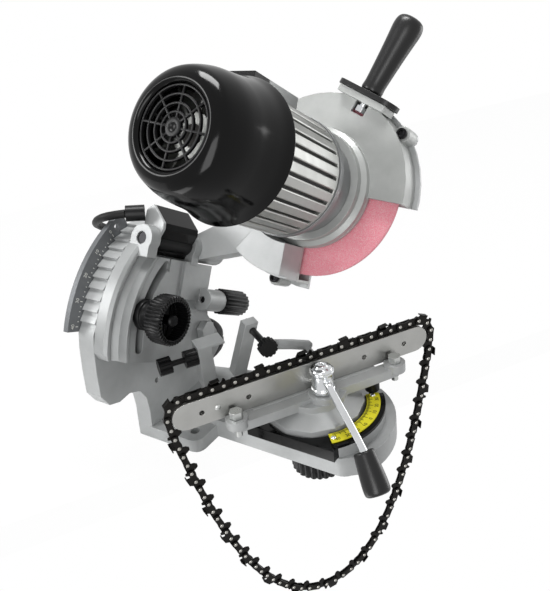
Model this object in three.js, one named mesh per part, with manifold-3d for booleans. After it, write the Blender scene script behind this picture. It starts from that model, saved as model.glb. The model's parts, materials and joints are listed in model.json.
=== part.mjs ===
import * as THREE from "three";
import { mergeVertices } from "three/addons/utils/BufferGeometryUtils.js";
import Module from "manifold-3d";

const wasm = await Module();
wasm.setup();

// Electric chainsaw sharpener for a bench, in millimetres, +Z up.
// The origin lies on the flat underside, where the sector plate's front face meets the platform.
// X runs from the sector plate to the vise, and the tilt axis lies along X above the origin.

// Clearances and counts
const gap = 0.3;
const weld = 0.0005;
const overrun = 2;
const fineSides = 40;
const midSides = 20;
const smallSides = 12;
const curveSteps = 6;
const loopSteps = 24;
const loopSides = 6;
const tubeSides = 10;
const climbShare = 0.25;
const knurlCount = 18;

const degrees = (angle) => (angle * Math.PI) / 180;
const half = (length) => length / 2;

// Tilt: the bracket and the head turn about X through the tilt axis
const tilt = {
  height: 81.43,
  restAngle: degrees(29.73),
};

// Base casting
const plate = {
  thick: 16.9,
  rimRadius: 116,
  stepDepth: 7,
  stepCount: 12,
  stepAngle: degrees(4.64),
  firstStepAngle: degrees(66.3),
  crownAngle: degrees(8),
  backReach: 30,
  neckReach: 40,
  pivotBossRadius: 24,
  spareHoleRadius: 2.6,
  spareHoleAt: 50.9,
  spareHoleHeight: 52.2,
};
const foot = {
  reach: 53.6,
  front: 69.5,
  thick: 12.5,
  cornerRadius: 9,
  boltRadius: 4.5,
  boltInset: 13,
};
const platform = {
  half: 41.7,
  height: 18.3,
  endRadius: 69.6,
  cornerRadius: 14,
};
const numberPlate = {
  thick: 5,
  band: 30,
  outer: 127,
  from: degrees(15),
  to: degrees(66),
  lugRadius: 7,
  lugHole: 3.2,
  lugInset: 6.5,
  lugAngle: degrees(20.2),
};
const turntable = {
  x: 132.8,
  y: -0.1,
  angle: degrees(-33.64),
  padRadius: 43,
  padTop: 20.5,
  skirtRadius: 43.3,
  skirtTop: 34,
  deckTop: 48,
  deckRadius: 30,
  deckSlope: 6,
  skirtSides: 12,
  seatLedge: 5,
  seatHalf: 58,
  ridgeWide: 4,
  ridgeRise: 1.6,
};
const scale = {
  inner: 45.3,
  outer: 56.9,
  top: 32.2,
  stripThick: 0.8,
  ledge: 4.2,
  from: degrees(-46),
  to: degrees(40),
  seatTop: 28.2,
  seatInset: 1.2,
  barRun: 84,
  barDepth: 16,
  lip: 1.2,
  barEnd: 1.5,
  barInset: 10.5,
  barTop: 29.2,
};

// Bolts and studs
const pivotBolt = {
  radius: 5,
  flats: 16,
  headThick: 7,
};
const lockStud = {
  across: 82.3,
  lift: 10.5,
  radius: 4,
  front: 52,
  headRadius: 8,
  headThick: 4,
};

// Tilt bracket, in the tilted frame: X, M towards the motor's fan end, N up the head
const bracket = {
  outerRadius: 115,
  bandInner: 110,
  ringInner: 101,
  ridgeInner: 97,
  bandDepth: 13,
  ringDepth: 9,
  ridgeDepth: 20.5,
  faceDepth: 18.5,
  slotWidth: 8.6,
  slotFrom: degrees(51),
  slotTo: degrees(103),
  topAngle: degrees(64.5),
  footDrop: 30,
  footReach: 107,
  rightEdge: 4,
  heelReach: 31,
  heelDrop: 14,
  saddle: 59,
  stripWidth: 9,
  stripAt: 34,
  stripDepth: 3,
  bandRound: 2.5,
  footRound: 10,
  slitAt: 59,
  slitWidth: 2,
  slitLong: 11,
  stripFoot: 26,
};
const hinge = {
  x: 13,
  n: 72,
  boltRadius: 5,
  earRadius: 11.5,
  farFrom: 83,
  farTo: 94,
  nearTo: -6,
  armTo: 28,
  nutFlats: 15,
  nutThick: 6,
  midEar: 9,
  boltShort: 1.5,
  capThick: 3,
  springRadius: 8,
  coverMiddle: 80,
  coverPoints: [[3.5, 96], [10, 101], [24, 87], [24.5, 82], [14, 60.5], [3.5, 60.5]],
};
const arm = {
  barrelRadius: 12.2,
  boreRadius: 5.4,
};
const depthStop = {
  x: 25,
  n: 28,
  bossRadius: 10,
  bossTo: -7,
  knobRadius: 12,
  knobLong: 38,
  shaftRadius: 3,
  fluteDepth: 1,
  crown: 2,
  shaftTo: 14,
};
const lockKnob = {
  collarRadius: 11,
  collarLong: 18,
  radius: 20.5,
  thick: 16,
  flutes: 26,
  fluteDepth: 1.2,
  rim: 3,
  recess: 3,
};

// Head, about the wheel's centre: M along the shaft towards the fan, N up
const wheel = {
  x: 115.86,
  n: 137.5,
  radius: 72.5,
  thick: 3.2,
  flangeRadius: 20,
  flangeThick: 5,
  nutFlats: 24,
  nutThick: 7,
};
const guard = {
  radius: 80,
  wall: 2.5,
  front: 11,
  rear: -10,
  faceThick: 3,
  stepRadius: 50,
  stepTop: 16,
  crestRadius: 46,
  crestTop: 25,
  throat: 22,
  openFrom: degrees(-91),
  openTo: degrees(-5),
  bossAt: 83,
  bossRadius: 6.5,
  bossTop: 5,
  screwRadius: 2.5,
  blockInner: 50.6,
  blockOuter: 79,
  blockTop: 40,
  blockFrom: degrees(-91),
  blockTo: degrees(-128),
};
const rearCover = {
  radius: 84,
  thick: 3,
  domeRadius: 32,
  domeDeep: 14,
};
const handle = {
  angle: degrees(66.5),
  m: 8,
  plateLong: 58,
  plateWide: 24,
  plateThick: 4,
  lugTop: 83,
  lugLong: 46,
  gripEnd: 152,
  gripFoot: 7.5,
  gripMiddle: 10.5,
  gripHead: 12,
  boltFlats: 9,
  boltThick: 5,
  boltBase: 70,
  boltRadius: 3,
};
const motor = {
  neckRadius: 40,
  neckTop: 49,
  flangeRadius: 47.4,
  flangeFrom: 52.5,
  flangeTo: 57.7,
  finRadius: 46.5,
  finDepth: 3.4,
  finCount: 30,
  bodyTo: 133,
  bodyWall: 6,
  statorInner: 28,
  rotorRadius: 27.4,
  shaftRadius: 7.5,
  bearingRadius: 16,
  bearingThick: 9,
  coverWall: 2.4,
  coverTo: 195,
  grilleRadius: 27,
  grilleAt: 190,
  grilleThick: 2.4,
  fanRadius: 36,
  fanThick: 16,
  fanBlades: 9,
  fanBladeThick: 2,
};
const switchBox = {
  from: 58.5,
  to: 100,
  left: -25,
  right: 0,
  top: 60,
  wall: 2,
  capLong: 19,
  rockerLong: 12,
  rockerWide: 8,
  rockerProud: 2.4,
  capacitorRadius: 4.4,
  capacitorLong: 36,
  rockerPlay: 0.6,
  rockerDeep: 4,
};
const sleeve = {
  radius: 6.6,
};
const rail = {
  from: -124,
  to: 113,
  top: 76.5,
  bottom: 52.5,
  thick: 3.6,
  groove: 1,
  holeRadius: 2.3,
  holeHeight: 64,
};
const ear = {
  off: 12,
  along: 74.2,
  radius: 9.5,
  top: 54.5,
  thick: 8,
  boltRadius: 3,
  boltBottom: 36.5,
  nutFlats: 10,
  nutThick: 6,
  beamWidth: 13,
  beamTop: 51.5,
  beamBottom: 43,
};
const clamp = {
  off: 16.2,
  along: 2,
  camOffset: 1.4,
  camFrom: 54,
  camTo: 74,
  capRadius: 9.5,
  capTop: 78,
  postRadius: 4,
  padTop: 53,
  padRadius: 13,
  rodRadius: 3.3,
  rodHeight: 66,
  gripRadius: 10,
  gripFoot: 8,
  rodSeatShare: 0.14,
  gripOff: 75.1,
  gripAlong: 4.9,
  gripHeight: 30.2,
  gripEndOff: 97,
  gripEndAlong: 4.2,
  gripEndHeight: 3,
};
const chain = {
  height: 3.6,
  width: 5.4,
  loopSag: 50.4,
  loopLow: -185.5,
  loopMiddle: -3.4,
  seat: 1.2,
  steps: 48,
  loopSpread: 122,
  leftShift: 0,
  rightShift: 3.7,
};
const turntableStud = {
  radius: 5,
  top: 30,
  bottom: -30,
};
const lowerKnob = {
  radius: 25.5,
  top: -3,
  bottom: -33,
  flutes: 26,
  fluteDepth: 1.4,
  collar: 13,
  rim: 3.5,
  recess: 4,
};
const frontJaw = {
  travel: 1,
};
const chainStop = {
  off: 38,
  depth: 18,
  left: -84,
  right: -60,
  top: 96,
  foot: 54,
  sheet: 2,
  flange: 12,
  screwOff: -45,
  screwHeight: 86,
  screwRadius: 2.5,
  screwReach: 12,
  knobRadius: 7.5,
  knobLong: 11,
  knobFrom: -118,
  knobFlute: 0.8,
  knobFlutes: 12,
  postFoot: -57,
  postHead: -39,
  postWide: 12,
  postTop: 103,
  postDeep: 12,
  postRight: -44,
  pinRadius: 3,
  pinInset: 0,
  pinDrop: 7,
  fingerOff: -12,
  fingerThick: 3,
  fingerReach: 38,
  fingerDrop: 8,
  fingerWide: 8,
  frontKnobRadius: 8,
  frontKnobLong: 7,
};
const scaleKnob = {
  radius: 6.5,
  x: 169.6,
  y: 38.6,
  from: 32.8,
  tall: 9,
};
const cord = {
  diameter: 7,
  coilInner: 26,
  coilPitch: 7.6,
  coilTurns: 19 / 3,
  coilX: -84,
  coilY: 66,
  coilStart: degrees(-30),
  tail: 30,
};
const plug = {
  neck: 5,
  radius: 11,
  taper: 22,
  long: 40,
  pinRadius: 2.4,
  pinLong: 19,
  pinSpread: 9.5,
};
// A cord's route is a list of points chosen by hand.
// The first ones are measured from the tilt axis, the others from the bench.
const cordHigh = [
  [6.8, -30.5, 124.17],
  [-4.8, -40.6, 125.77],
  [-12, -44.8, 125.47],
  [-17, -46.8, 124.77],
  [-19.8, -47.6, 124.27],
  [-20.8, -47.8, 123.97],
  [-23.4, -48, 123.27],
  [-28.2, -47.8, 121.57],
  [-35.9, -45.6, 117.57],
  [-42, -41.1, 112.87],
  [-47.3, -27.5, 103.07],
  [-48, -10, 88.57],
  [-47, 2, 68.57],
  [-46, 6, 38.57],
];
const cordLow = [
  [-46, 6, 85],
  [-46, 6, 50],
  [-46, 6.6, 32],
  [-46, 10.6, 17],
  [-46, 20, 7],
  [-44.4, 31, 3.8],
  [-42.9, 36.6, 3.8],
  [-40.8, 40.7, 3.8],
];
const cordPoints = [...cordHigh.map(([x, y, z]) => [x, y, z + tilt.height]), ...cordLow];
const cordSplit = 5;

// Shares of the sizes that they follow
const stepShare = 0.35;
const neckShare = 0.35;
const neckTopShare = 0.85;
const heelShare = 0.71;
const waistShare = 0.63;
const insetShare = 0.82;
const webUnderShare = 0.55;
const webLowShare = 0.84;
const webOverShare = 0.1;
const webHighShare = 0.95;
const gripNeckShare = 0.72;
const finShare = 0.76;
const lipShare = 0.4;
const playShare = 0.01;
const gripFootShare = 0.3;
const gripHeadShare = 0.88;
const kneeShare = 0.62;
const sleeveBoreShare = 0.6;
const armCrestShare = 0.9;
const armCrestRiseShare = 0.74;
const finPhaseShare = 0.05;
const hubShare = 0.19;
const grilleShares = [0.27, 0.62, 1];
const railHoleShares = [-0.882, -0.523, 0.434, 0.79];
const plateEdgeShares = [
  [0.599, 0],
  [0.588, 0.13],
  [0.575, 0.256],
  [0.578, 0.371],
  [0.628, 0.468],
  [0.725, 0.512],
  [0.834, 0.503],
  [0.927, 0.537],
  [0.984, 0.644],
  [0.968, 0.82],
  [0.943, 0.994],
];
const fanCoverShares = [
  [1.115, 0],
  [1.06, 0.12],
  [1.02, 0.27],
  [0.995, 0.4],
  [0.98, 0.52],
  [0.95, 0.68],
  [0.885, 0.84],
  [0.83, 0.92],
  [0.73, 1],
];
const grillePhase = degrees(-8);
const guardBossAngles = [degrees(36), degrees(-138), degrees(-108)];

// Finishes
const finish = (color, roughness, metalness) => new THREE.MeshStandardMaterial(
  { color, roughness, metalness },
);
const castGrey = finish("#a3a5a4", 0.5, 0.35);
const castSatin = finish("#b4b5b2", 0.42, 0.4);
const aluminium = finish("#b9bab6", 0.4, 0.6);
const zinc = finish("#c9cccd", 0.3, 0.8);
const chrome = finish("#d8dadb", 0.12, 1);
const steelPlate = finish("#9fa09c", 0.4, 0.7);
const darkSteel = finish("#3a3835", 0.45, 0.7);
const blackPlastic = finish("#141414", 0.55, 0);
const glossBlack = finish("#0b0b0c", 0.18, 0);
const redPlastic = finish("#a01c1c", 0.4, 0);
const yellowScale = finish("#c9c32a", 0.5, 0);
const wheelPink = finish("#d4808c", 0.9, 0);
const cordBlack = finish("#101010", 0.5, 0);

// Frames: each base turns a shape drawn in XY and raised along Z
const axisX = new THREE.Vector3(1, 0, 0);
const axisY = new THREE.Vector3(0, 1, 0);
const axisZ = new THREE.Vector3(0, 0, 1);
const upright = new THREE.Matrix4();
const alongX = new THREE.Matrix4().makeBasis(axisY, axisZ, axisX);
const alongY = new THREE.Matrix4().makeBasis(axisZ, axisX, axisY);
const alongShaft = new THREE.Matrix4().makeBasis(axisX, axisZ, axisY.clone().negate());

// A closed geometry becomes a solid that can be joined and cut
function solid(geometry) {
  const bare = geometry.index ? geometry.toNonIndexed() : geometry.clone();
  bare.deleteAttribute("normal");
  bare.deleteAttribute("uv");
  const merged = mergeVertices(bare, weld);
  const corners = merged.index.array;
  const faces = [];
  for (let i = 0; i < corners.length; i += 3) {
    const [a, b, c] = [corners[i], corners[i + 1], corners[i + 2]];
    if (a !== b && b !== c && c !== a) faces.push(a, b, c);
  }
  const vertProperties = merged.attributes.position.array;
  const wrap = (list) =>
    new wasm.Manifold(new wasm.Mesh({ numProp: 3, vertProperties, triVerts: new Uint32Array(list) }));
  const made = wrap(faces);
  return made.volume() < 0 ? wrap(faces.reverse()) : made;
}

const join = (first, ...others) => others.reduce((whole, other) => whole.add(other), first);
const cut = (first, ...tools) => tools.reduce((whole, tool) => whole.subtract(tool), first);

// Shapes
function extruded(outline, from, to, frame = upright, offset = [0, 0, 0]) {
  const shape = outline instanceof THREE.Shape ? outline : new THREE.Shape(
    outline.map(([u, v]) => new THREE.Vector2(u, v)),
  );
  const geometry = new THREE.ExtrudeGeometry(shape, {
    depth: to - from,
    bevelEnabled: false,
    curveSegments: curveSteps,
  });
  geometry.translate(0, 0, from);
  geometry.applyMatrix4(frame);
  return solid(geometry.translate(...offset));
}

function turned(profile, frame = upright, offset = [0, 0, 0], sides = midSides) {
  const points = profile.map(([radius, along]) => new THREE.Vector2(radius, along));
  const geometry = new THREE.LatheGeometry(points, sides);
  geometry.rotateX(degrees(90));
  geometry.applyMatrix4(frame);
  return solid(geometry.translate(...offset));
}

function disc(radius, from, to, frame = upright, offset = [0, 0, 0], sides = midSides) {
  const profile = [[0, from], [radius, from], [radius, to], [0, to]];
  return turned(profile, frame, offset, sides);
}

function ring(inner, outer, from, to, frame = upright, offset = [0, 0, 0], sides = midSides) {
  const profile = [[inner, from], [outer, from], [outer, to], [inner, to], [inner, from]];
  return turned(profile, frame, offset, sides);
}

function box(low, high) {
  const size = high.map((value, i) => value - low[i]);
  const middle = high.map((value, i) => half(value + low[i]));
  return solid(new THREE.BoxGeometry(...size).translate(...middle));
}

function rod(start, end, startRadius, endRadius = startRadius, sides = smallSides) {
  const a = new THREE.Vector3(...start);
  const b = new THREE.Vector3(...end);
  const run = b.clone().sub(a);
  const geometry = new THREE.CylinderGeometry(endRadius, startRadius, run.length(), sides);
  geometry.applyQuaternion(new THREE.Quaternion().setFromUnitVectors(axisY, run.normalize()));
  return solid(geometry.translate(...a.add(b).multiplyScalar(half(1)).toArray()));
}

// A hexagon's width across its flats gives the radius of its corners
const hexCorner = (flats) => half(flats) / Math.cos(degrees(30));
function hexagon(flats, from, to, frame, offset) {
  return disc(hexCorner(flats), from, to, frame, offset, 6);
}

// A knob's rim with flutes cut along it
function knurled(radius, depth, count, from, to, frame, offset) {
  const outline = [];
  for (let i = 0; i < count; i += 1) {
    for (const [share, reach] of [[0, radius], [0.45, radius], [0.6, radius - depth], [0.85, radius - depth]]) {
      const angle = degrees((360 * (i + share)) / count);
      outline.push([reach * Math.cos(angle), reach * Math.sin(angle)]);
    }
  }
  return extruded(outline, from, to, frame, offset);
}

function roundedBar(start, end, radius, from, to, frame, offset) {
  const run = Math.atan2(end[1] - start[1], end[0] - start[0]);
  const shape = new THREE.Shape();
  shape.absarc(end[0], end[1], radius, run - degrees(90), run + degrees(90));
  shape.absarc(start[0], start[1], radius, run + degrees(90), run + degrees(270));
  return extruded(shape, from, to, frame, offset);
}

const polar = (radius, angle) => [radius * Math.cos(angle), radius * Math.sin(angle)];
function arcPoints(radius, from, to, steps, centre = [0, 0]) {
  const points = [];
  for (let i = 0; i <= steps; i += 1) {
    const [u, v] = polar(radius, from + ((to - from) * i) / steps);
    points.push([centre[0] + u, centre[1] + v]);
  }
  return points;
}

// Named meshes in nested groups
function piece(parent, name, shape, material) {
  const made = shape.getMesh();
  const geometry = new THREE.BufferGeometry();
  const positions = new Float32Array(made.numVert * 3);
  for (let i = 0; i < made.numVert; i += 1) {
    for (let k = 0; k < 3; k += 1) positions[3 * i + k] = made.vertProperties[made.numProp * i + k];
  }
  geometry.setAttribute("position", new THREE.BufferAttribute(positions, 3));
  geometry.setIndex(new THREE.BufferAttribute(new Uint32Array(made.triVerts), 1));
  geometry.computeVertexNormals();
  const mesh = new THREE.Mesh(geometry, material);
  mesh.name = name;
  parent.add(mesh);
  return mesh;
}

const sharpener = new THREE.Group();

// Base body
const fromTilt = (radius, angle) => [-radius * Math.sin(angle), tilt.height + radius * Math.cos(angle)];
const lockAngle = Math.atan2(lockStud.across, lockStud.lift) - tilt.restAngle;
const lockRadius = Math.hypot(lockStud.across, lockStud.lift);
const [lockY, lockZ] = fromTilt(lockRadius, lockAngle);

// The black bar of the vise scale, and the cast seat under its curved part
function scaleBarRun(grow) {
  const right = turntable.x + (scale.outer + scale.ledge) * Math.cos(scale.from) + scale.barEnd;
  const front = -platform.half + scale.barInset - scale.barDepth;
  return box(
    [right - scale.barRun - grow, front - grow, platform.height + gap - 2 * grow],
    [right + grow, front + scale.barDepth + grow, scale.barTop + grow],
  );
}

function scaleSeat() {
  const seat = extruded(
    [
      ...arcPoints(scale.outer + scale.ledge - scale.seatInset, scale.from, scale.to, 20),
      ...arcPoints(scale.inner - scale.lip, scale.to, scale.from, 20),
    ],
    platform.height - gap,
    scale.seatTop,
    upright,
    [turntable.x, turntable.y, 0],
  );
  return cut(seat, scaleBarRun(gap));
}

function baseCasting() {
  const outline = [];
  for (let i = 0; i < plate.stepCount; i += 1) {
    const angle = plate.firstStepAngle - i * plate.stepAngle;
    outline.push(fromTilt(plate.rimRadius, angle));
    outline.push(fromTilt(plate.rimRadius - plate.stepDepth * stepShare, angle - plate.stepAngle));
  }
  outline.push(fromTilt(plate.rimRadius, plate.crownAngle));
  outline.push([plate.neckReach * neckShare, tilt.height + plate.rimRadius * neckTopShare]);
  outline.push([plate.neckReach * neckShare, tilt.height + plate.pivotBossRadius]);
  outline.push([plate.pivotBossRadius, tilt.height]);
  outline.push([plate.backReach, 0]);
  for (const [yShare, zShare] of plateEdgeShares) outline.push(
    [-yShare * plate.rimRadius, zShare * plate.rimRadius],
  );
  const sector = extruded(outline, -plate.thick, 0, alongX);

  const flange = extruded(
    [
      [-overrun, -foot.front],
      [foot.reach - foot.cornerRadius, -foot.front],
      ...arcPoints(
        foot.cornerRadius,
        degrees(-60),
        0,
        3,
        [foot.reach - foot.cornerRadius, foot.cornerRadius - foot.front],
      ),
      [foot.reach, -platform.half + overrun],
      [-overrun, -platform.half + overrun],
    ],
    0,
    foot.thick,
  );
  const endStart = Math.asin(platform.half / platform.endRadius);
  const cornerX = turntable.x + platform.endRadius * Math.cos(endStart) - platform.cornerRadius;
  const deck = extruded(
    [
      [-overrun, -platform.half],
      ...arcPoints(
        platform.cornerRadius,
        degrees(-90),
        degrees(-40),
        4,
        [cornerX, platform.cornerRadius - platform.half],
      ),
      ...arcPoints(platform.endRadius, degrees(-24), degrees(60), 14, [turntable.x, turntable.y]),
      [turntable.x, platform.half + platform.cornerRadius],
      [foot.reach, platform.half],
      [-overrun, plate.backReach],
    ],
    0,
    platform.height,
  );
  const pad = disc(
    turntable.padRadius,
    platform.height - overrun,
    turntable.padTop,
    upright,
    [turntable.x, turntable.y, 0],
  );
  const boss = disc(plate.pivotBossRadius, -plate.thick, 0, alongX, [0, 0, tilt.height]);
  const body = join(sector, flange, deck, pad, boss, scaleSeat());

  const boltHoles = [foot.boltInset, foot.reach - foot.boltInset].map((x) =>
    disc(
      foot.boltRadius,
      -overrun,
      foot.thick + overrun,
      upright,
      [x, foot.boltInset - foot.front, 0],
      smallSides,
    ),
  );
  return cut(
    body,
    disc(pivotBolt.radius + gap, -plate.thick - overrun, overrun, alongX, [0, 0, tilt.height], smallSides),
    disc(lockStud.radius + gap, -plate.thick - overrun, overrun, alongX, [0, lockY, lockZ], smallSides),
    disc(
      plate.spareHoleRadius,
      -plate.thick - overrun,
      overrun,
      alongX,
      [0, -plate.spareHoleAt, plate.spareHoleHeight],
      smallSides,
    ),
    disc(
      turntableStud.radius + gap,
      -overrun,
      turntable.padTop + overrun,
      upright,
      [turntable.x, turntable.y, 0],
      smallSides,
    ),
    ...boltHoles,
  );
}

function numberPlateSolid() {
  const outer = arcPoints(numberPlate.outer, numberPlate.from, numberPlate.to, 16);
  const inner = arcPoints(numberPlate.outer - numberPlate.band, numberPlate.to, numberPlate.from, 16);
  const outline = [...outer, ...inner].map(([c, s]) => [-s, tilt.height + c]);
  const lugCentre = fromTilt(numberPlate.outer - numberPlate.lugInset, numberPlate.lugAngle);
  const front = -plate.thick - gap;
  const band = extruded(outline, front - numberPlate.thick, front, alongX);
  const lug = disc(
    numberPlate.lugRadius,
    front - numberPlate.thick,
    front,
    alongX,
    [0, ...lugCentre],
    smallSides,
  );
  const hole = disc(
    numberPlate.lugHole,
    front - numberPlate.thick - overrun,
    front + overrun,
    alongX,
    [0, ...lugCentre],
    smallSides,
  );
  const studRoom = disc(
    lockStud.headRadius + gap,
    front - numberPlate.thick - overrun,
    front + overrun,
    alongX,
    [0, lockY, lockZ],
    smallSides,
  );
  return cut(join(band, lug), hole, studRoom);
}

piece(sharpener, "base_casting", baseCasting(), castGrey);
piece(sharpener, "number_plate", numberPlateSolid(), castGrey);

// Bolt, nut and stud through the sector plate
const boltRear = -plate.thick - gap;
const boltFront = bracket.faceDepth + gap;
piece(
  sharpener,
  "tilt_pivot_bolt",
  join(
    disc(
      pivotBolt.radius,
      boltRear - pivotBolt.headThick - overrun,
      boltFront + overrun,
      alongX,
      [0, 0, tilt.height],
      smallSides,
    ),
    hexagon(pivotBolt.flats, boltFront, boltFront + pivotBolt.headThick, alongX, [0, 0, tilt.height]),
  ),
  zinc,
);
piece(
  sharpener,
  "tilt_lock_stud",
  join(
    disc(lockStud.radius, -plate.thick - gap, lockStud.front, alongX, [0, lockY, lockZ], smallSides),
    disc(
      lockStud.headRadius,
      -plate.thick - gap - lockStud.headThick,
      -plate.thick - gap,
      alongX,
      [0, lockY, lockZ],
      smallSides,
    ),
  ),
  zinc,
);

// Vise scale: a black bar on the platform carries the yellow strip
const scaleCentre = [turntable.x, turntable.y, 0];
function scaleBar() {
  const under = scale.top - scale.stripThick - gap;
  const arc = extruded(
    [
      ...arcPoints(scale.outer + scale.ledge, scale.from, scale.to, 20),
      ...arcPoints(scale.inner - scale.lip, scale.to, scale.from, 20),
    ],
    scale.seatTop + gap,
    under,
    upright,
    scaleCentre,
  );
  return cut(
    join(arc, scaleBarRun(0)),
    disc(scale.inner - scale.lip, platform.height, under + overrun, upright, scaleCentre, fineSides),
  );
}
piece(sharpener, "scale_bar", scaleBar(), blackPlastic);
piece(
  sharpener,
  "scale_strip",
  extruded(
    [
      ...arcPoints(scale.outer, scale.from, scale.to, 20),
      ...arcPoints(scale.inner, scale.to, scale.from, 20),
    ],
    scale.top - scale.stripThick,
    scale.top,
    upright,
    scaleCentre,
  ),
  yellowScale,
);

// Tilting body: M runs along local minus Y, N along local Z
const tilted = new THREE.Group();
tilted.position.z = tilt.height;
tilted.rotation.x = -tilt.restAngle;
sharpener.add(tilted);

const side = (outline, from, to) => extruded(outline.map(([m, n]) => [-m, n]), from, to, alongX);
const fromN = (radius, angle) => [radius * Math.sin(angle), radius * Math.cos(angle)];

function bracketCasting() {
  const b = bracket;
  const profile = [
    [0, gap],
    [b.outerRadius, gap],
    [b.outerRadius, b.bandDepth - b.bandRound],
    [b.outerRadius - b.bandRound, b.bandDepth],
    [b.bandInner, b.bandDepth],
    [half(b.bandInner + b.ringInner), b.ringDepth],
    [b.ringInner, b.bandDepth],
    [b.ridgeInner + b.bandRound, b.ridgeDepth],
    [b.ridgeInner, b.ridgeDepth],
    [b.ridgeInner - b.bandRound, b.faceDepth],
    [0, b.faceDepth],
  ];
  const face = turned(profile, alongX, [0, 0, 0], fineSides + midSides);
  const outline = [
    fromN(b.outerRadius + overrun, b.topAngle),
    ...arcPoints(b.outerRadius + overrun, degrees(90) - b.topAngle - degrees(4), -degrees(8), 10),
    [b.footReach + b.footRound, b.footRound - b.footDrop],
    [b.footReach, -b.footDrop],
    [b.heelReach * -heelShare, -b.footDrop],
    [-b.heelReach, -b.heelDrop],
    [-b.heelReach * heelShare, 0],
    [-b.rightEdge, b.heelDrop],
    [b.rightEdge, b.saddle * waistShare],
    [b.rightEdge + overrun, b.saddle],
    [hinge.farFrom, b.saddle],
    [hinge.farFrom, hinge.n],
    [hinge.farTo, hinge.n],
  ];
  const sector = side(outline, -overrun, b.ridgeDepth + overrun).intersect(face);
  const ears = [
    [hinge.farFrom, hinge.farTo],
    [hinge.armTo + gap, hinge.armTo + hinge.midEar],
  ].map(([from, to]) =>
    join(
      disc(hinge.earRadius, from, to, alongShaft, [hinge.x, 0, hinge.n]),
      box(
        [hinge.x - hinge.earRadius, -to, b.saddle - overrun],
        [hinge.x + hinge.earRadius - overrun, -from, hinge.n],
      ),
    ),
  );
  const ribLow = box(
    [b.faceDepth - overrun, -b.stripAt - b.stripWidth, b.stripFoot],
    [b.faceDepth + b.stripDepth, -b.stripAt, b.saddle],
  );
  const column = box(
    [b.faceDepth - overrun, -b.stripAt, b.stripFoot],
    [b.faceDepth + b.stripDepth, -b.rightEdge - overrun, b.saddle],
  );
  const boss = disc(
    depthStop.bossRadius,
    depthStop.bossTo,
    half(b.stripAt),
    alongShaft,
    [depthStop.x, 0, depthStop.n],
    midSides,
  );
  const whole = join(sector, ...ears, ribLow, column, boss);

  const slot = extruded(
    slotShape(lockRadius, half(b.slotWidth), b.slotFrom, b.slotTo),
    -overrun,
    b.ridgeDepth + overrun,
    alongX,
  );
  const slit = side(
    [
      [b.slitAt, b.saddle + overrun],
      [b.slitAt + b.slitWidth, b.saddle + overrun],
      [b.slitAt + b.slitWidth, b.saddle - b.slitLong],
      [b.slitAt, b.saddle - b.slitLong],
    ],
    b.faceDepth - b.bandRound,
    b.ridgeDepth + overrun,
  );
  return cut(
    whole,
    slot,
    slit,
    disc(pivotBolt.radius + gap, -overrun, b.ridgeDepth + overrun, alongX, [0, 0, 0], smallSides),
    disc(
      hinge.boltRadius + gap,
      -hinge.armTo,
      hinge.farTo + overrun,
      alongShaft,
      [hinge.x, 0, hinge.n],
      smallSides,
    ),
    disc(
      depthStop.shaftRadius + gap,
      depthStop.bossTo - overrun,
      b.stripAt,
      alongShaft,
      [depthStop.x, 0, depthStop.n],
      smallSides,
    ),
  );
}

// An arc slot about the tilt axis, its angles measured from N towards M
function slotShape(radius, reach, from, to) {
  const turn = (angle) => degrees(90) + angle;
  const shape = new THREE.Shape();
  const start = polar(radius, turn(from));
  const end = polar(radius, turn(to));
  shape.absarc(0, 0, radius + reach, turn(from), turn(to));
  shape.absarc(end[0], end[1], reach, turn(to), turn(to) + degrees(180));
  shape.absarc(0, 0, radius - reach, turn(to), turn(from), true);
  shape.absarc(start[0], start[1], reach, turn(from) + degrees(180), turn(from) + degrees(360));
  return shape;
}

piece(tilted, "tilt_bracket", bracketCasting(), castGrey);

// Lock knob and collar on the stud, which sits in the base
const lockAt = [0, -lockStud.across, lockStud.lift];
const collarFrom = bracket.faceDepth + gap;
const knobFrom = collarFrom + lockKnob.collarLong;
piece(
  tilted,
  "tilt_lock_knob",
  cut(
    join(
      knurled(
        lockKnob.radius,
        lockKnob.fluteDepth,
        lockKnob.flutes,
        knobFrom,
        knobFrom + lockKnob.thick,
        alongX,
        lockAt,
      ),
      disc(lockKnob.collarRadius, collarFrom, knobFrom + overrun, alongX, lockAt),
    ),
    disc(
      lockKnob.radius - lockKnob.rim,
      knobFrom + lockKnob.thick - lockKnob.recess,
      knobFrom + lockKnob.thick + overrun,
      alongX,
      lockAt,
    ),
    disc(lockStud.radius + gap, collarFrom - overrun, lockStud.front + gap, alongX, lockAt, smallSides),
  ),
  blackPlastic,
);

// Depth stop: an eccentric on a screw in the bracket's boss
const stopAt = [depthStop.x, 0, depthStop.n];
const stopKnobFrom = depthStop.bossTo - gap;
piece(
  tilted,
  "depth_stop_knob",
  join(
    knurled(
      depthStop.knobRadius,
      depthStop.fluteDepth,
      knurlCount,
      stopKnobFrom - depthStop.knobLong + depthStop.crown,
      stopKnobFrom,
      alongShaft,
      stopAt,
    ),
    disc(
      depthStop.knobRadius - depthStop.crown,
      stopKnobFrom - depthStop.knobLong,
      stopKnobFrom - overrun,
      alongShaft,
      stopAt,
      midSides,
    ),
    disc(depthStop.shaftRadius, stopKnobFrom - overrun, depthStop.shaftTo, alongShaft, stopAt, smallSides),
  ),
  blackPlastic,
);

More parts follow.
